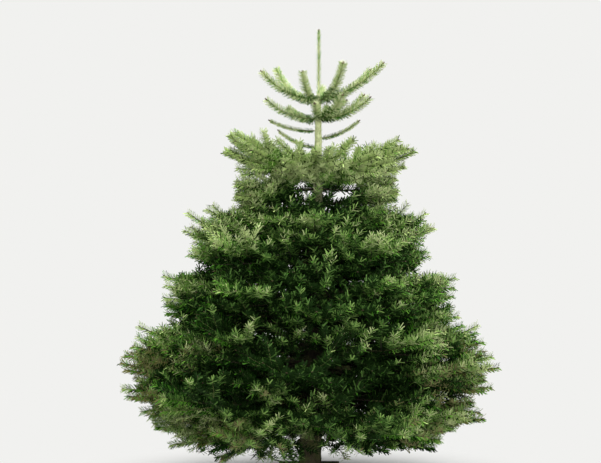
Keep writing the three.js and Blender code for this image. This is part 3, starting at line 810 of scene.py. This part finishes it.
def floor_material(colours, radius):
    """Matt painted floor, shaded near the tree, that glows as brightly as the backdrop beyond a fifth of its
    radius."""
    material, tree, shader = new_material("painted_studio_floor", {
        "Base Color": opaque(colours.floor), "Roughness": 0.9, "Specular IOR Level": 0.1,
    })
    place = add(tree, "ShaderNodeTexCoord").outputs["Object"]
    far = add(tree, "ShaderNodeVectorMath", {"operation": "LENGTH"}, {0: place})
    rim = add(tree, "ShaderNodeMapRange", {"interpolation_type": "SMOOTHSTEP", "From Min": 0.06 * radius,
                                           "From Max": 0.22 * radius}, {"Value": far.outputs["Value"]})
    glow = add(tree, "ShaderNodeEmission", {"Color": opaque(colours.backdrop)})
    both = add(tree, "ShaderNodeMixShader", (), {0: rim.outputs[0], 1: shader.outputs[0], 2: glow.outputs[0]})
    output = next(node for node in tree.nodes if node.type == "OUTPUT_MATERIAL")
    tree.links.new(both.outputs[0], output.inputs["Surface"])
    return material


# Pieces


SWELLING = 0.16  # how much thicker the trunk is where a limb sets off
SWELLS_ABOVE, SWELLS_BELOW = 0.008, 0.02  # how far that reaches up and down, in metres
STUBS = dict(height=0.146, rise=20, length=0.009, radius=0.009)  # the sawn limbs; length is how far they stand out


def trunk_grid(sizes, around=56, rows=360):
    """The trunk as a grid of angle by height: the solid's taper, with a swelling where each limb of a whorl or
    collar sets off and the relief of the bark, which fades with the trunk's radius."""
    z = sizes.trunk_foot + (sizes.top - 0.004 - sizes.trunk_foot) * np.linspace(0, 1, rows) ** 1.15
    angle = 2 * np.pi * np.arange(around) / around
    height, turn = z[:, None], angle[None]
    radius = np.repeat(trunk_radius(z, sizes)[:, None], around, 1)
    thick = radius / sizes.foot_radius
    relief = ripples(turn, height, 5, 9, 14, 0.05) + 0.6 * ripples(turn, height, 51, 9, 30, 0.016)
    swelling = np.zeros_like(radius)
    for spec in WHORLS + COLLARS + LONE_SHOOTS:
        for way in spec["turns"]:
            facing = np.maximum(np.cos(turn - np.radians(way)), 0) ** 6
            above = height - spec["height"]
            swelling += facing * np.exp(-((above / np.where(above > 0, SWELLS_ABOVE, SWELLS_BELOW)) ** 2))
    radius = radius * (1 + SWELLING * np.minimum(swelling, 1)) + sizes.bark_relief * thick * relief
    x = trunk_x(height, sizes) + radius * np.cos(turn)
    y = radius * np.sin(turn)
    points = np.stack([x, y, np.broadcast_to(height, x.shape)], -1).reshape(-1, 3)
    poles = np.array([[trunk_x(z[0], sizes), 0, z[0]], [trunk_x(sizes.top, sizes), 0, sizes.top]])
    return np.concatenate([points, poles]), list(tube_faces(1, rows, around))


class FIR_OT_trunk(Operator):
    """Makes the trunk with its bark, and the two limbs sawn off near its foot"""

    bl_idname = "fir.trunk"
    bl_label = "Trunk"

    def execute(self, context):
        sizes, colours = context.scene.fir_sizes, context.scene.fir_colours
        bark = bark_material("fir_trunk_bark", colours, 1.05, 1.3)
        trunk = make_mesh("trunk_bark", *trunk_grid(sizes), [bark])
        finish_piece(trunk, "bark", "trunk")

        def radius_at(mine, share, angle):
            """A stub's radius, with lumps of bark."""
            lumps = ripples(angle[None], (share * mine.length)[:, None], 9, 5, 6, 0.02)
            return STUBS["radius"] * (1 + 0.08 * lumps)

        height, rise = STUBS["height"], np.radians(STUBS["rise"])
        hand, one, zero = np.array([-1.0, 1.0]), np.ones(2), np.zeros(2)
        start = np.stack([one * trunk_x(height, sizes), zero, one * height], 1)
        along = np.stack([hand * np.cos(rise), zero, one * np.sin(rise)], 1)
        length = one * (trunk_radius(height, sizes) + STUBS["length"])
        stubs = Limbs(start, along, 0 * along, length, hand + 7, *[zero] * 7)
        ends = tube_points(stubs, zero + 0.5, one, 8, 16, radius_at)
        piece = make_mesh("sawn_limbs", ends, list(tube_faces(2, 8, 16)), [bark])
        finish_piece(piece, "bark")
        return {"FINISHED"}


class FIR_OT_boughs(Operator):
    """Makes the wood of the boughs, with the relief of their bark"""

    bl_idname = "fir.boughs"
    bl_label = "Boughs"

    def execute(self, context):
        sizes, colours = context.scene.fir_sizes, context.scene.fir_colours
        limbs = grow(sizes)
        boughs = take(limbs, limbs.rank == BOUGH)

        def radius_at(mine, share, angle):
            """The limb's taper, swollen where it leaves the trunk, with ripples of bark."""
            along = (share * mine.length)[:, None]
            foot = 1 + 0.5 * np.exp(-np.maximum(along - 0.03, 0) / 0.02)
            bark = 1 + 0.1 * ripples(angle[None], along + mine.seed[:, None], 3, 7, 5, 0.02)
            return limb_radius(mine, share)[:, None] * foot * bark

        zero = np.zeros_like(boughs.length)
        points = tube_points(boughs, zero + 0.015, zero + 0.985, 16, 7, radius_at)
        bark = bark_material("fir_bough_bark", colours, 1.15, 1.5)
        piece = make_mesh("bough_wood", points, list(tube_faces(len(zero), 16, 7)), [bark])
        finish_piece(piece, "bark", *[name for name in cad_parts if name.startswith("bough_")])
        return {"FINISHED"}


TWIGS_FROM = 0.5  # the wood of twigs that end farther in than this is hidden and left out
YOUNG_FROM = 0.75  # farther out the bark of side limbs and twigs is young


class FIR_OT_twigs(Operator):
    """Makes the wood of the side limbs, twigs and top shoots"""

    bl_idname = "fir.twigs"
    bl_label = "Twigs"

    def execute(self, context):
        sizes, colours = context.scene.fir_sizes, context.scene.fir_colours
        limbs = grow(sizes)
        materials = twig_materials(colours)
        seen = (limbs.rank != TWIG) | (outwardness(point_at(limbs, 1), sizes) > TWIGS_FROM)

        def radius_at(mine, share, angle):
            """The limb's plain taper."""
            return np.repeat(limb_radius(mine, share)[:, None], len(angle), 1)

        for name, rank, rings, sides in (
            ("side_limb_wood", SIDE, 4, 4),
            ("twig_wood", TWIG, 2, 3),
            ("top_shoot_wood", SHOOT, 12, 6),
        ):
            mine = take(limbs, (limbs.rank == rank) & seen)
            zero = np.zeros_like(mine.length)
            points = tube_points(mine, zero, zero + 1, rings, sides, radius_at)
            groups = list(tube_faces(len(zero), rings, sides))
            young = (outwardness(point_at(mine, 0.5), sizes) > YOUNG_FROM) | (rank == SHOOT)
            looks = np.concatenate([np.repeat(young, len(group) // len(zero)) for group in groups])
            piece = make_mesh(name, points, groups, materials, looks)
            finish_piece(piece, "bark")
        return {"FINISHED"}


def outwardness(points, sizes):
    """How far out points lie, as a share of the reach of the boughs at their height."""
    return np.hypot(points[:, 0] - trunk_x(points[:, 2], sizes), points[:, 1]) / reach_at(points[:, 2])


# Where the camera stands, in metres: the photograph's own distance isn't known and is a guess
CAMERA_PLACE = (-0.034, -6.0, 0.997)
EYE_DISTANCE, EYE_HEIGHT = -CAMERA_PLACE[1], CAMERA_PLACE[2]
FADES_BY = 0.25  # how far behind the trunk the patches below have faded out

# Shaded hollows (depth above zero) and bright patches (below zero) in the crown's front, placed to match the
# photograph: across, up, half width and half height in metres, and depth
HOLLOWS = np.array([
    (-0.03, 0.45, 0.20, 0.060, 1.2), (-0.30, 0.45, 0.20, 0.045, 0.5), (-0.46, 0.34, 0.12, 0.045, 0.7),
    (0.25, 0.35, 0.10, 0.045, 0.8), (-0.42, 0.63, 0.10, 0.060, 0.6), (-0.20, 0.54, 0.07, 0.040, 0.8),
    (0.02, 0.83, 0.30, 0.070, 0.36), (0.02, 0.70, 0.30, 0.060, 0.28), (0.38, 0.64, 0.10, 0.050, 0.3),
    (-0.34, 0.83, 0.12, 0.040, 0.6), (0.45, 0.82, 0.10, 0.050, -0.25), (0.42, 0.60, 0.10, 0.060, -0.2),
    (0.05, 1.09, 0.20, 0.050, 0.3), (-0.16, 1.27, 0.05, 0.030, 0.4), (0.10, 1.21, 0.08, 0.030, 0.45),
    (-0.25, 0.29, 0.07, 0.045, 0.5), (-0.56, 0.38, 0.08, 0.050, 0.4), (-0.37, 0.14, 0.08, 0.040, 0.4),
    (-0.14, 0.16, 0.08, 0.035, 0.15), (-0.235, 0.625, 0.07, 0.035, -0.15), (-0.14, 0.55, 0.08, 0.030, -0.2),
    (0.26, 0.24, 0.10, 0.045, 0.5), (0.00, 0.20, 0.60, 0.070, -0.15), (-0.58, 0.25, 0.13, 0.060, -0.85),
    (-0.23, 1.11, 0.06, 0.050, -0.5), (0.25, 1.10, 0.06, 0.050, -0.8), (-0.06, 1.01, 0.12, 0.050, -0.25),
    (-0.17, 0.72, 0.16, 0.045, 0.25), (0.37, 0.72, 0.07, 0.045, -0.35), (-0.39, 0.63, 0.09, 0.045, 0.2),
    (-0.42, 0.53, 0.06, 0.040, -0.45), (-0.13, 0.34, 0.10, 0.040, -0.4), (0.63, 0.34, 0.06, 0.040, 0.25),
    (0.00, 0.43, 0.10, 0.045, 0.5), (0.54, 0.24, 0.06, 0.050, -0.4), (-0.09, 0.25, 0.07, 0.040, 0.2),
    (-0.48, 0.15, 0.10, 0.050, -0.35), (0.30, 0.15, 0.10, 0.040, 0.35), (0.35, 0.92, 0.05, 0.045, 0.3),
    (0.25, 0.82, 0.05, 0.040, 0.35), (0.08, 0.82, 0.06, 0.040, -0.2), (0.04, 0.54, 0.10, 0.040, -0.3),
])

# Where more of the shoots in the crown's front are olive, or fewer where the last value is below zero
DULLED = np.array([(0.59, 0.37, 0.12, 0.07, 0.6), (-0.64, 0.34, 0.08, 0.06, 0.5), (-0.42, 0.15, 0.10, 0.05, 0.3),
                   (-0.54, 0.25, 0.12, 0.05, -0.6), (0.44, 0.24, 0.08, 0.05, -0.4)])

# How much painted shade darkens the crown all round at heights from the floor up, painted light where it is below
# zero, and what the painted light and shade of each clump adds
STOREYS = [(0.3, 0.42, 0.5, 0.6, 0.7, 0.78, 0.95, 1.04, 1.08, 1.16, 1.2),
           (-0.12, -0.02, -0.05, 0.0, 0.08, 0.06, -0.02, 0.04, 0.1, 0.1, 0.0)]
CLUMP_SHADE, CLUMP_SIZE, CLUMP_WAVES = 0.17, 0.16, 8

# What else makes up the score of a shoot's tone, as deal_tones says, and the least score of the paler tones. The
# scores for height, the top, the upper layer of sprays and the sides are painted light.
HEIGHT_SCORE = 0.35
TOP_SCORE = 0.42
LAYER_SCORE = 0.11
SIDE_SCORE = 0.1
YOUNG_SUNLIT_SCORE, BRIGHT_SCORE, MATURE_SCORE = 1.25, 1.0, 0.8
SHOOT_CHANCE = 0.1
UNLIT_BELOW = 0.33  # below this height most young sunlit shoots lose their painted light and are bright instead


def clumps(points):
    """Light and shade, mostly from -1 to 1, that change from one clump of sprays to the next: the sum of sine waves
    in several directions over 1.2 times the root of their number."""
    total = np.zeros(len(points))
    for wave in range(CLUMP_WAVES):
        way = unit(np.array([spread(wave, 1), spread(wave + 0.3, 1), 0.2 + 1.3 * spread(wave + 0.6, 1)]))
        steepness = 0.75 + 0.6 * chance(wave + 0.8)
        total += np.sin(2 * np.pi * (points @ way) / CLUMP_SIZE * steepness + 40 * chance(wave + 0.9))
    return total / np.sqrt(CLUMP_WAVES) / 1.2


def patches(points, rows):
    """The sum over rows of depth * exp(-((x - across) / wide)**2 - ((z - up) / high)**2), in the crown's front.

    x and z are the points' places on the plane through the trunk, as seen from EYE_DISTANCE in front of it. The
    patches fade out a little behind that plane."""
    x, y, z = points.T
    fading = np.clip((FADES_BY - y) / FADES_BY, 0, 1)
    nearness = EYE_DISTANCE / (EYE_DISTANCE + y)
    x, z = x * nearness, EYE_HEIGHT + (z - EYE_HEIGHT) * nearness
    return fading * sum(depth * np.exp(-(((x - across) / wide) ** 2) - ((z - up) / high) ** 2)
                        for across, up, wide, high, depth in rows)


def deal_tones(points, limbs, sizes):
    """The tone of shoots at given points of them, dealt out by their place in the crown and by chance, and by painted
    light and shade.

    score = outwardness + height * its score, both partly painted light, + the shoot's own chance - the painted
    shade or light of the patch of the crown's front - its bough's painted shade + the top's painted light + the
    clump's painted light and shade - the storey's painted shade, and a little more painted light on the upper of
    two layers of sprays and towards the left and the right. High scores are young sunlit, a paler tone that is
    partly painted light, or bright, low ones deep, which is painted shade, and some shoots low down are olive,
    most of them to the left and the right and on the lower layer. The top shoots are fresh."""
    x, _, z = points.T
    top = TOP_SCORE * np.clip((z - TOP_FROM) / 0.1, 0, 1)
    layer = np.sign(limbs.roll)
    score = outwardness(points, sizes) + HEIGHT_SCORE * z + spread(limbs.seed + 5, SHOOT_CHANCE)
    score = score - patches(points, HOLLOWS) - limbs.shade + top
    score += CLUMP_SHADE * clumps(points)
    score -= np.interp(z, *STOREYS)
    score += LAYER_SCORE * layer + SIDE_SCORE * (np.abs(x) / reach_at(z) - 0.5) * (z < SPREADING_BELOW)
    tone = np.select([score > YOUNG_SUNLIT_SCORE, score > BRIGHT_SCORE, score > MATURE_SCORE],
                     [YOUNG_SUNLIT, BRIGHT, MATURE], DEEP)
    # Painted light is mostly left off low down, where the tiers above shade the shoots
    unlit_low = (tone == YOUNG_SUNLIT) & (z < UNLIT_BELOW) & (chance(limbs.seed + 11) < 0.6)
    tone = np.where(unlit_low, BRIGHT, tone)
    dulled = np.abs(x) * (0.6 - 0.55 * layer) + 0.1 + patches(points, DULLED)
    tone = np.where((z < OLIVE_BELOW) & (chance(limbs.seed + 9) < dulled) & (tone != DEEP), OLIVE, tone)
    return np.where(limbs.rank >= SHOOT, FRESH, tone)


# The needles of each tone: how broad they are, broader in the shade, where only their mass shows, and the tones that
# some of them have instead
BREADTH = np.array([0.75, 0.95, 1.0, 1.15, 1.5, 1.05])
DARKER = np.array([BRIGHT, BRIGHT, MATURE, DEEP, DEEP, MATURE])
PALER = np.array([FRESH, YOUNG_SUNLIT, YOUNG_SUNLIT, BRIGHT, MATURE, BRIGHT])

# The needles of each rank of limb: how crowded they are, how evenly they stand along it (below 1 they crowd towards
# its tip), the share of it that is bare at its foot, how long they are, how far they lean from it, in degrees, and
# what share of that the upright ones lean
CROWDING = [1.3, 1, 1, 1, 2.2, 1.1, 0.35]
EVENNESS = [0.6, 0.7, 0.85, 0.85, 0.85, 0.85, 0.85]
BARE_FOOT = [0.3, 0.08, 0.02, 0.02, 0.02, 0.02, 0.02]
TOP_BARE_FOOT = 0.08  # on all limbs at the top
LONG = [1, 1, 0.96, 0.96, 0.9, 0.6, 0.54]
LONE_LONG = 0.46  # on the lone shoots
LEAN = [48, 48, 48, 48, 50, 48, 48]
UPRIGHT_LEAN = [1, 1, 1, 1, 1, 0.75, 0.8]
NEEDLE_TURN = 0.618034  # from one needle to the next round a shoot, in whole turns
TIP_TWIST = 24  # how far a needle's tip is turned, in degrees
TIP_BREADTH = 0.62  # the breadth of its tip over that of its foot

# How crowded needles are at shares of the crown's reach, how crowded at least under the crown and where the sky is
# behind them, on low drooping boughs and at the top, and how crowded on the top fan's brushes and their twigs
CROWDING_OUTWARDS = [(0.35, 0.65, 0.85, 1.0), (0.45, 0.68, 1.35, 1.7)]
UNDER_CROWN, UNDER_CROWDING = 0.28, 0.68
SKY_CROWDING = 1.15
BRUSH_CROWDING, BRUSH_TWIG_CROWDING = 2.3, 1.6


def crowding_at(points, limbs, sizes):
    """How crowded the needles of limbs are: a few on the inner ones, and more the farther out they stand or where
    the sky is behind them."""
    z = points[:, 2]
    crowding = np.interp(outwardness(points, sizes), *CROWDING_OUTWARDS)
    crowding = np.where(z < UNDER_CROWN, np.maximum(crowding, UNDER_CROWDING), crowding)
    crowding = np.where(limbs.tier == LOW_TIER, SKY_CROWDING, crowding)
    crowding = np.where(z > TOP_FROM, np.maximum(crowding, SKY_CROWDING), crowding)
    brush = np.where(limbs.rank <= SIDE, BRUSH_CROWDING, BRUSH_TWIG_CROWDING)
    return np.where(limbs.start[:, 2] > FAN_FROM, brush, crowding) * by_rank(limbs, CROWDING)


def needle_points(limbs, sizes):
    """Needles along shoots, as four points each, and the tone of each needle.

    Needles stand round a shoot in a golden spiral that leaves most of its underside free, lean forwards, more so on
    top and at the tip, and turn their upper side to the light. A needle is a blade of four faces: its foot is an
    edge across it, and its tip a shorter edge turned by a few degrees."""
    crowding = crowding_at(point_at(limbs, 0.65), limbs, sizes)
    counts = np.maximum(6, limbs.length * sizes.crowding * crowding).astype(int)
    rows, order = fan_out(counts)
    mine = take(limbs, rows)
    own = mine.seed * 3.3 + order * 0.731
    foot_z, is_shoot, upright_one = mine.start[:, 2], mine.rank == SHOOT, mine.rank > SHOOT
    bare = np.where(foot_z > TOP_FROM, TOP_BARE_FOOT, by_rank(mine, BARE_FOOT))
    share = bare + (1 - bare) * ((order + 0.5) / counts[rows]) ** by_rank(mine, EVENNESS)
    point, ahead, side, over = frames(mine, share)
    tones = deal_tones(point, mine, sizes)
    brush = (mine.rank <= SIDE) & (foot_z > FAN_FROM) | (mine.rank == BOUGH) & (share > 0.75)
    reach = np.radians(np.select([upright_one, is_shoot | brush, mine.rank <= SIDE],
                                 [180, 172, 130 + 38 * share**2], 130))
    around = (2 * ((order * NEEDLE_TURN) % 1) - 1) * reach + spread(own, 0.2)
    outwards = over * np.cos(around)[:, None] + side * np.sin(around)[:, None]
    lean = by_rank(mine, LEAN) + 15 * np.abs(np.sin(around)) + spread(own + 0.1, 8)
    lean = np.radians(lean * (1 - 0.12 * share**7) * by_rank(mine, UPRIGHT_LEAN))[:, None]
    lifted = np.where(mine.rank >= SHOOT, 0, 0.1)[:, None]
    way = unit(ahead * np.cos(lean) + outwards * np.sin(lean) + UP * lifted)
    lone = is_shoot & (foot_z < COLLARS[1]["height"] - 0.02)
    length = sizes.needle_length * (0.8 + 0.25 * chance(own + 0.2)) * (1 - 0.1 * share**6)
    length *= np.where(lone, LONE_LONG, by_rank(mine, LONG))
    length *= 0.7 + 0.3 * np.minimum(1, 8 * share)
    up = np.where(upright_one[:, None], outwards, 0.55 * UP + 0.6 * outwards)
    across = unit(np.cross(way, up + 0.2 * spread(own + 0.4, 1)[:, None] * side))
    upper = np.cross(across, way)
    twist = np.radians(TIP_TWIST + spread(own + 0.5, 8))[:, None]
    turned = across * np.cos(twist) + upper * np.sin(twist)
    half = (0.5 * sizes.needle_width * BREADTH[tones] * (1 + spread(own + 0.6, 0.12)))[:, None]
    wood = np.where(mine.rank == STEM, trunk_radius(point[:, 2], sizes), limb_radius(mine, share))
    foot = point + outwards * wood[:, None] * 0.8
    tip = foot + way * length[:, None]
    points = np.stack([foot - across * half, foot + across * half, tip - turned * half * TIP_BREADTH,
                       tip + turned * half * TIP_BREADTH], 1)
    return points, needle_tones(mine, share, tones, own)


def needle_tones(limbs, share, tones, seed):
    """The tone of each needle: its spray's, or for some needles the next darker or paler one, which is oftener
    darker near the foot of a shoot and paler at its tip. At the top, only the foot of a shoot has dark needles."""
    pick = chance(seed + 0.9)
    paler = np.where((tones == DEEP) & (limbs.start[:, 2] < OLIVE_BELOW), DEEP, PALER[tones])
    # About one needle in ten takes the deep tone, painted shade of needles that lie under others
    mixed = np.select([pick < 0.1, pick < 0.4 - 0.25 * share, pick > 1.02 - 0.34 * share],
                      [DEEP, DARKER[tones], paler], tones)
    mixed = np.where((mixed == DEEP) & (pick > 0.86), MATURE, mixed)
    base = (limbs.rank == SHOOT) & (share < 0.6)
    on_axis = (limbs.rank > SHOOT) & (pick < 0.36)
    return np.select([base & (pick < 0.3 - 0.8 * share), base & (pick < 1.05 - 1.4 * share), on_axis,
                      limbs.rank >= SHOOT], [DEEP, MATURE, BRIGHT, np.minimum(mixed, BRIGHT)], mixed)


# The faces of a needle, and which of them are of the underside's colour
NEEDLE_FACES = np.array([[0, 1, 3], [0, 3, 2], [1, 0, 2], [1, 2, 3]])
NEEDLE_SIDES = np.array([0, 0, 1, 1])


class FIR_OT_needles(Operator):
    """Makes the needles, one piece for each whorl and one for the top"""

    bl_idname = "fir.needles"
    bl_label = "Needles"

    def execute(self, context):
        sizes, colours = context.scene.fir_sizes, context.scene.fir_colours
        limbs = grow(sizes)
        materials = needle_materials(colours)
        top = limbs.rank >= SHOOT
        groups = [("needles_top", top, [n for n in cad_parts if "shoot" in n])]
        for tier in range(FIRST_TIER, LOW_TIER + 1):
            nodes = [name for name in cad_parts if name.startswith(f"mass_{tier}_")]
            groups.append((f"needles_{tier}", ~top & (limbs.tier == tier), nodes))
        total = 0
        for name, rows, nodes in groups:
            points, own = needle_points(take(limbs, rows), sizes)
            first = 4 * np.arange(len(points))[:, None, None]
            faces = (first + NEEDLE_FACES).reshape(-1, 3)
            looks = (2 * own[:, None] + NEEDLE_SIDES).ravel()
            piece = make_mesh(name, points.reshape(-1, 3), [faces], materials, looks, smooth=False)
            finish_piece(piece, "foliage", *nodes)
            total += len(faces)
            print(f"{name}: {len(faces)} triangles")
        print(f"needles in all: {total} triangles")
        return {"FINISHED"}


# Buds: how far out those of side limbs and of twigs are seen, and how long they are on the tree's leader and top
# shoots, at other large tips and on twigs, in metres. At a large tip a smaller bud stands to either side.
BUDS_FROM, TWIG_BUDS_FROM = 0.6, 0.85
TOP_BUD, LARGE_BUD, SMALL_BUD = 0.014, 0.0085, 0.006
BESIDE = 0.8


class FIR_OT_buds(Operator):
    """Makes the brown resting buds at the tips of the shoots"""

    bl_idname = "fir.buds"
    bl_label = "Buds"

    def execute(self, context):
        sizes, colours = context.scene.fir_sizes, context.scene.fir_colours
        limbs = grow(sizes)
        out = outwardness(point_at(limbs, 1), sizes)
        large = (limbs.rank >= SHOOT) & (limbs.rank < STEM) | (limbs.rank <= SIDE) & (out > BUDS_FROM)
        shown = large | (limbs.rank == TWIG) & (out > TWIG_BUDS_FROM)
        limbs, large = take(limbs, shown), large[shown]
        rows, order = fan_out(np.where(large & (limbs.rank != SIDE), 3, 1))
        mine = take(limbs, rows)
        point, ahead, side, _ = frames(mine, np.ones(len(rows)))
        hand = np.array([0.0, 1.0, -1.0])[order][:, None]
        way = unit(ahead + side * hand * 0.9)
        length = np.select([mine.rank >= SHOOT, large[rows]], [TOP_BUD, LARGE_BUD], SMALL_BUD)
        length = length * np.where(order > 0, BESIDE, 1)
        zero = np.zeros(len(rows))
        buds = Limbs(point - ahead * 0.001, way, 0 * way, length, mine.seed + order, *[zero] * 7)

        def radius_at(mine, share, angle):
            """An egg's radius: 0.3 * length * sine of a share of half a turn."""
            return (0.3 * mine.length * np.sin(np.pi * (0.18 + 0.72 * share)))[:, None] * np.ones(len(angle))

        points = tube_points(buds, zero, zero + 0.85, 2, 4, radius_at)
        piece = make_mesh("resting_buds", points, list(tube_faces(len(rows), 2, 4)), [bud_material(colours)])
        finish_piece(piece, "bark")
        return {"FINISHED"}


END_CENTRE = 0.035  # the height at which the faces of a sawn end meet, in metres


def log_section(sizes, count):
    """The half log's section as y and z, anticlockwise seen from +X: an arc above a flat underside."""
    middle = sizes.log_height - sizes.log_radius
    flat = np.arcsin(-middle / sizes.log_radius)
    arc = np.linspace(flat, np.pi - flat, 4 * count // 5)
    bow = np.stack([sizes.log_radius * np.cos(arc), middle + sizes.log_radius * np.sin(arc)], 1)
    left, right = bow[-1, 0], bow[0, 0]
    across = left + (right - left) * np.arange(1, count - len(arc) + 1) / (count - len(arc) + 1)
    return np.concatenate([bow, np.stack([across, 0 * across], 1)]), len(arc)


class FIR_OT_half_log(Operator):
    """Makes the half log: rough bark and sawn ends, with no hole of its own where the trunk goes in"""

    bl_idname = "fir.half_log"
    bl_label = "Half log"

    def execute(self, context):
        sizes, colours = context.scene.fir_sizes, context.scene.fir_colours
        count, rows, rings = 110, 54, 7  # points round the log, along it and from a sawn end's rim to its centre
        section, bow = log_section(sizes, count)
        middle = sizes.log_height - sizes.log_radius
        x = sizes.log_length * (np.linspace(0, 1, rows) - 0.5)
        angle = np.arctan2(section[:, 1] - middle, section[:, 0])
        fissures = np.abs(ripples(angle[None] * 3, x[:, None], 21, 8, 16, 0.09))
        bark = np.where(np.arange(count) < bow, 1, 0) * sizes.bark_relief * (0.5 - 1.4 * fissures)
        out = np.stack([np.cos(angle), np.sin(angle)], 1)
        body = section[None] + bark[:, :, None] * out[None]
        body[..., 1] = np.maximum(body[..., 1], 0)
        centre = np.array([0.0, END_CENTRE])
        shrink = (1 - np.arange(1, rings) / rings)[:, None, None]
        foot_cap = centre + (body[:1] - centre) * shrink[::-1]
        tip_cap = centre + (body[-1:] - centre) * shrink
        grid = np.concatenate([foot_cap, body, tip_cap])
        along = np.concatenate([np.full(rings - 1, x[0]), x, np.full(rings - 1, x[-1])])
        points = np.concatenate([np.broadcast_to(along[:, None, None], (*grid.shape[:2], 1)), grid], 2).reshape(-1, 3)
        poles = np.array([[x[0], *centre], [x[-1], *centre]])
        quads, tips = tube_faces(1, len(grid), count)
        row = np.repeat(np.arange(len(grid) - 1), count)
        column = np.tile(np.arange(count), len(grid) - 1)
        barked = (row >= rings - 1) & (row < rings + rows - 2) & (column < bow - 1)
        looks = np.concatenate([np.where(barked, 0, 1), np.ones(len(tips))])
        materials = [bark_material("split_log_bark", colours, 3.0, 4.0), sawn_wood_material(colours, middle)]
        log = make_mesh("half_log_wood", np.concatenate([points, poles]), [quads, tips], materials, looks)
        finish_piece(log, "half_log", "half_log")
        return {"FINISHED"}


FLOOR_RADIUS, FLOOR_HEIGHT = 5.0, -0.0004
AIM = (0.0, 0.0, 0.8)  # where the lights point

# Lights: their names, as in the settings, with their places and sizes in metres
LIGHTS = [("right", (4.6, -2.6, 3.4), 3.6), ("left", (-4.6, -2.6, 3.4), 3.6), ("front", (0.4, -5.5, 1.8), 2.2),
          ("top", (0.0, -0.6, 4.6), 3.4)]


class FIR_OT_stage(Operator):
    """Makes the pale floor and backdrop, the studio lights and the camera"""

    bl_idname = "fir.stage"
    bl_label = "Stage"

    def execute(self, context):
        scene, colours, light = context.scene, context.scene.fir_colours, context.scene.fir_light
        rings, around = 24, 96
        r = FLOOR_RADIUS * (np.arange(1, rings + 1) / rings)[:, None]
        turn = 2 * np.pi * np.arange(around)[None] / around
        disc = np.stack([r * np.cos(turn), r * np.sin(turn), np.full((rings, around), FLOOR_HEIGHT)], -1)
        row = np.repeat(np.arange(rings - 1), around)
        here = np.tile(np.arange(around), rings - 1)
        after = (here + 1) % around
        quads = np.stack([row * around + here, (row + 1) * around + here, (row + 1) * around + after,
                          row * around + after], 1)
        first = np.arange(around)
        inner = np.stack([np.full(around, rings * around), first, (first + 1) % around], 1)
        points = np.concatenate([disc.reshape(-1, 3), [[0, 0, FLOOR_HEIGHT]]])
        floor = make_mesh("studio_floor", points, [quads, inner], [floor_material(colours, FLOOR_RADIUS)])
        self.light_up(scene, colours, light)
        camera = bpy.data.objects.new("camera", bpy.data.cameras.new("camera"))
        camera.location = CAMERA_PLACE
        camera.rotation_euler = (np.pi / 2, 0, 0)
        camera.data.lens = light.lens
        camera.data.sensor_width = 36
        scene.collection.objects.link(camera)
        scene.camera = camera
        return {"FINISHED"}

    def light_up(self, scene, colours, light):
        """A pale even backdrop, seen at full brightness and lighting the tree with less, and four soft lights."""
        scene.view_settings.view_transform = "Standard"
        world = bpy.data.worlds.new("pale_studio")
        world.use_nodes = True
        tree = world.node_tree
        tree.nodes.clear()
        seen = add(tree, "ShaderNodeBackground", {"Color": opaque(colours.backdrop)})
        cast = add(tree, "ShaderNodeBackground", {"Color": opaque(colours.backdrop), "Strength": light.ambient})
        ray = add(tree, "ShaderNodeLightPath")
        both = add(tree, "ShaderNodeMixShader", (), {0: ray.outputs["Is Camera Ray"], 1: cast.outputs[0],
                                                     2: seen.outputs[0]})
        add(tree, "ShaderNodeOutputWorld", (), {"Surface": both.outputs[0]})
        scene.world = world
        for name, place, size in LIGHTS:
            lamp = bpy.data.lights.new(f"{name}_light", "AREA")
            lamp.energy, lamp.size = getattr(light, name), size
            holder = bpy.data.objects.new(f"{name}_light", lamp)
            holder.location = place
            holder.rotation_euler = (Vector(AIM) - holder.location).to_track_quat("-Z", "Y").to_euler()
            scene.collection.objects.link(holder)


STEPS = (FIR_OT_trunk, FIR_OT_boughs, FIR_OT_twigs, FIR_OT_needles, FIR_OT_buds, FIR_OT_half_log, FIR_OT_stage)


class FIR_PT_tools(Panel):
    """Lists the pieces of the tree"""

    bl_idname = "FIR_PT_tools"
    bl_label = "Cut fir"
    bl_space_type = "VIEW_3D"
    bl_region_type = "UI"
    bl_category = "Fir"

    def draw(self, context):
        for step in STEPS:
            self.layout.operator(step.bl_idname)


CLASSES = (FirSizes, FirColours, FirLight, *STEPS, FIR_PT_tools)


def register():
    """Registers the classes, and the settings on the scene."""
    for each in CLASSES:
        bpy.utils.register_class(each)
    bpy.types.Scene.fir_sizes = PointerProperty(type=FirSizes)
    bpy.types.Scene.fir_colours = PointerProperty(type=FirColours)
    bpy.types.Scene.fir_light = PointerProperty(type=FirLight)


def unregister():
    """Takes the settings and the classes away again."""
    del bpy.types.Scene.fir_sizes
    del bpy.types.Scene.fir_colours
    del bpy.types.Scene.fir_light
    for each in reversed(CLASSES):
        bpy.utils.unregister_class(each)


def main():
    """Makes every piece in order."""
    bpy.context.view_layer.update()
    register()
    bpy.ops.fir.trunk()
    bpy.ops.fir.boughs()
    bpy.ops.fir.twigs()
    bpy.ops.fir.needles()
    bpy.ops.fir.buds()
    bpy.ops.fir.half_log()
    bpy.ops.fir.stage()


if __name__ == "__main__":
    main()
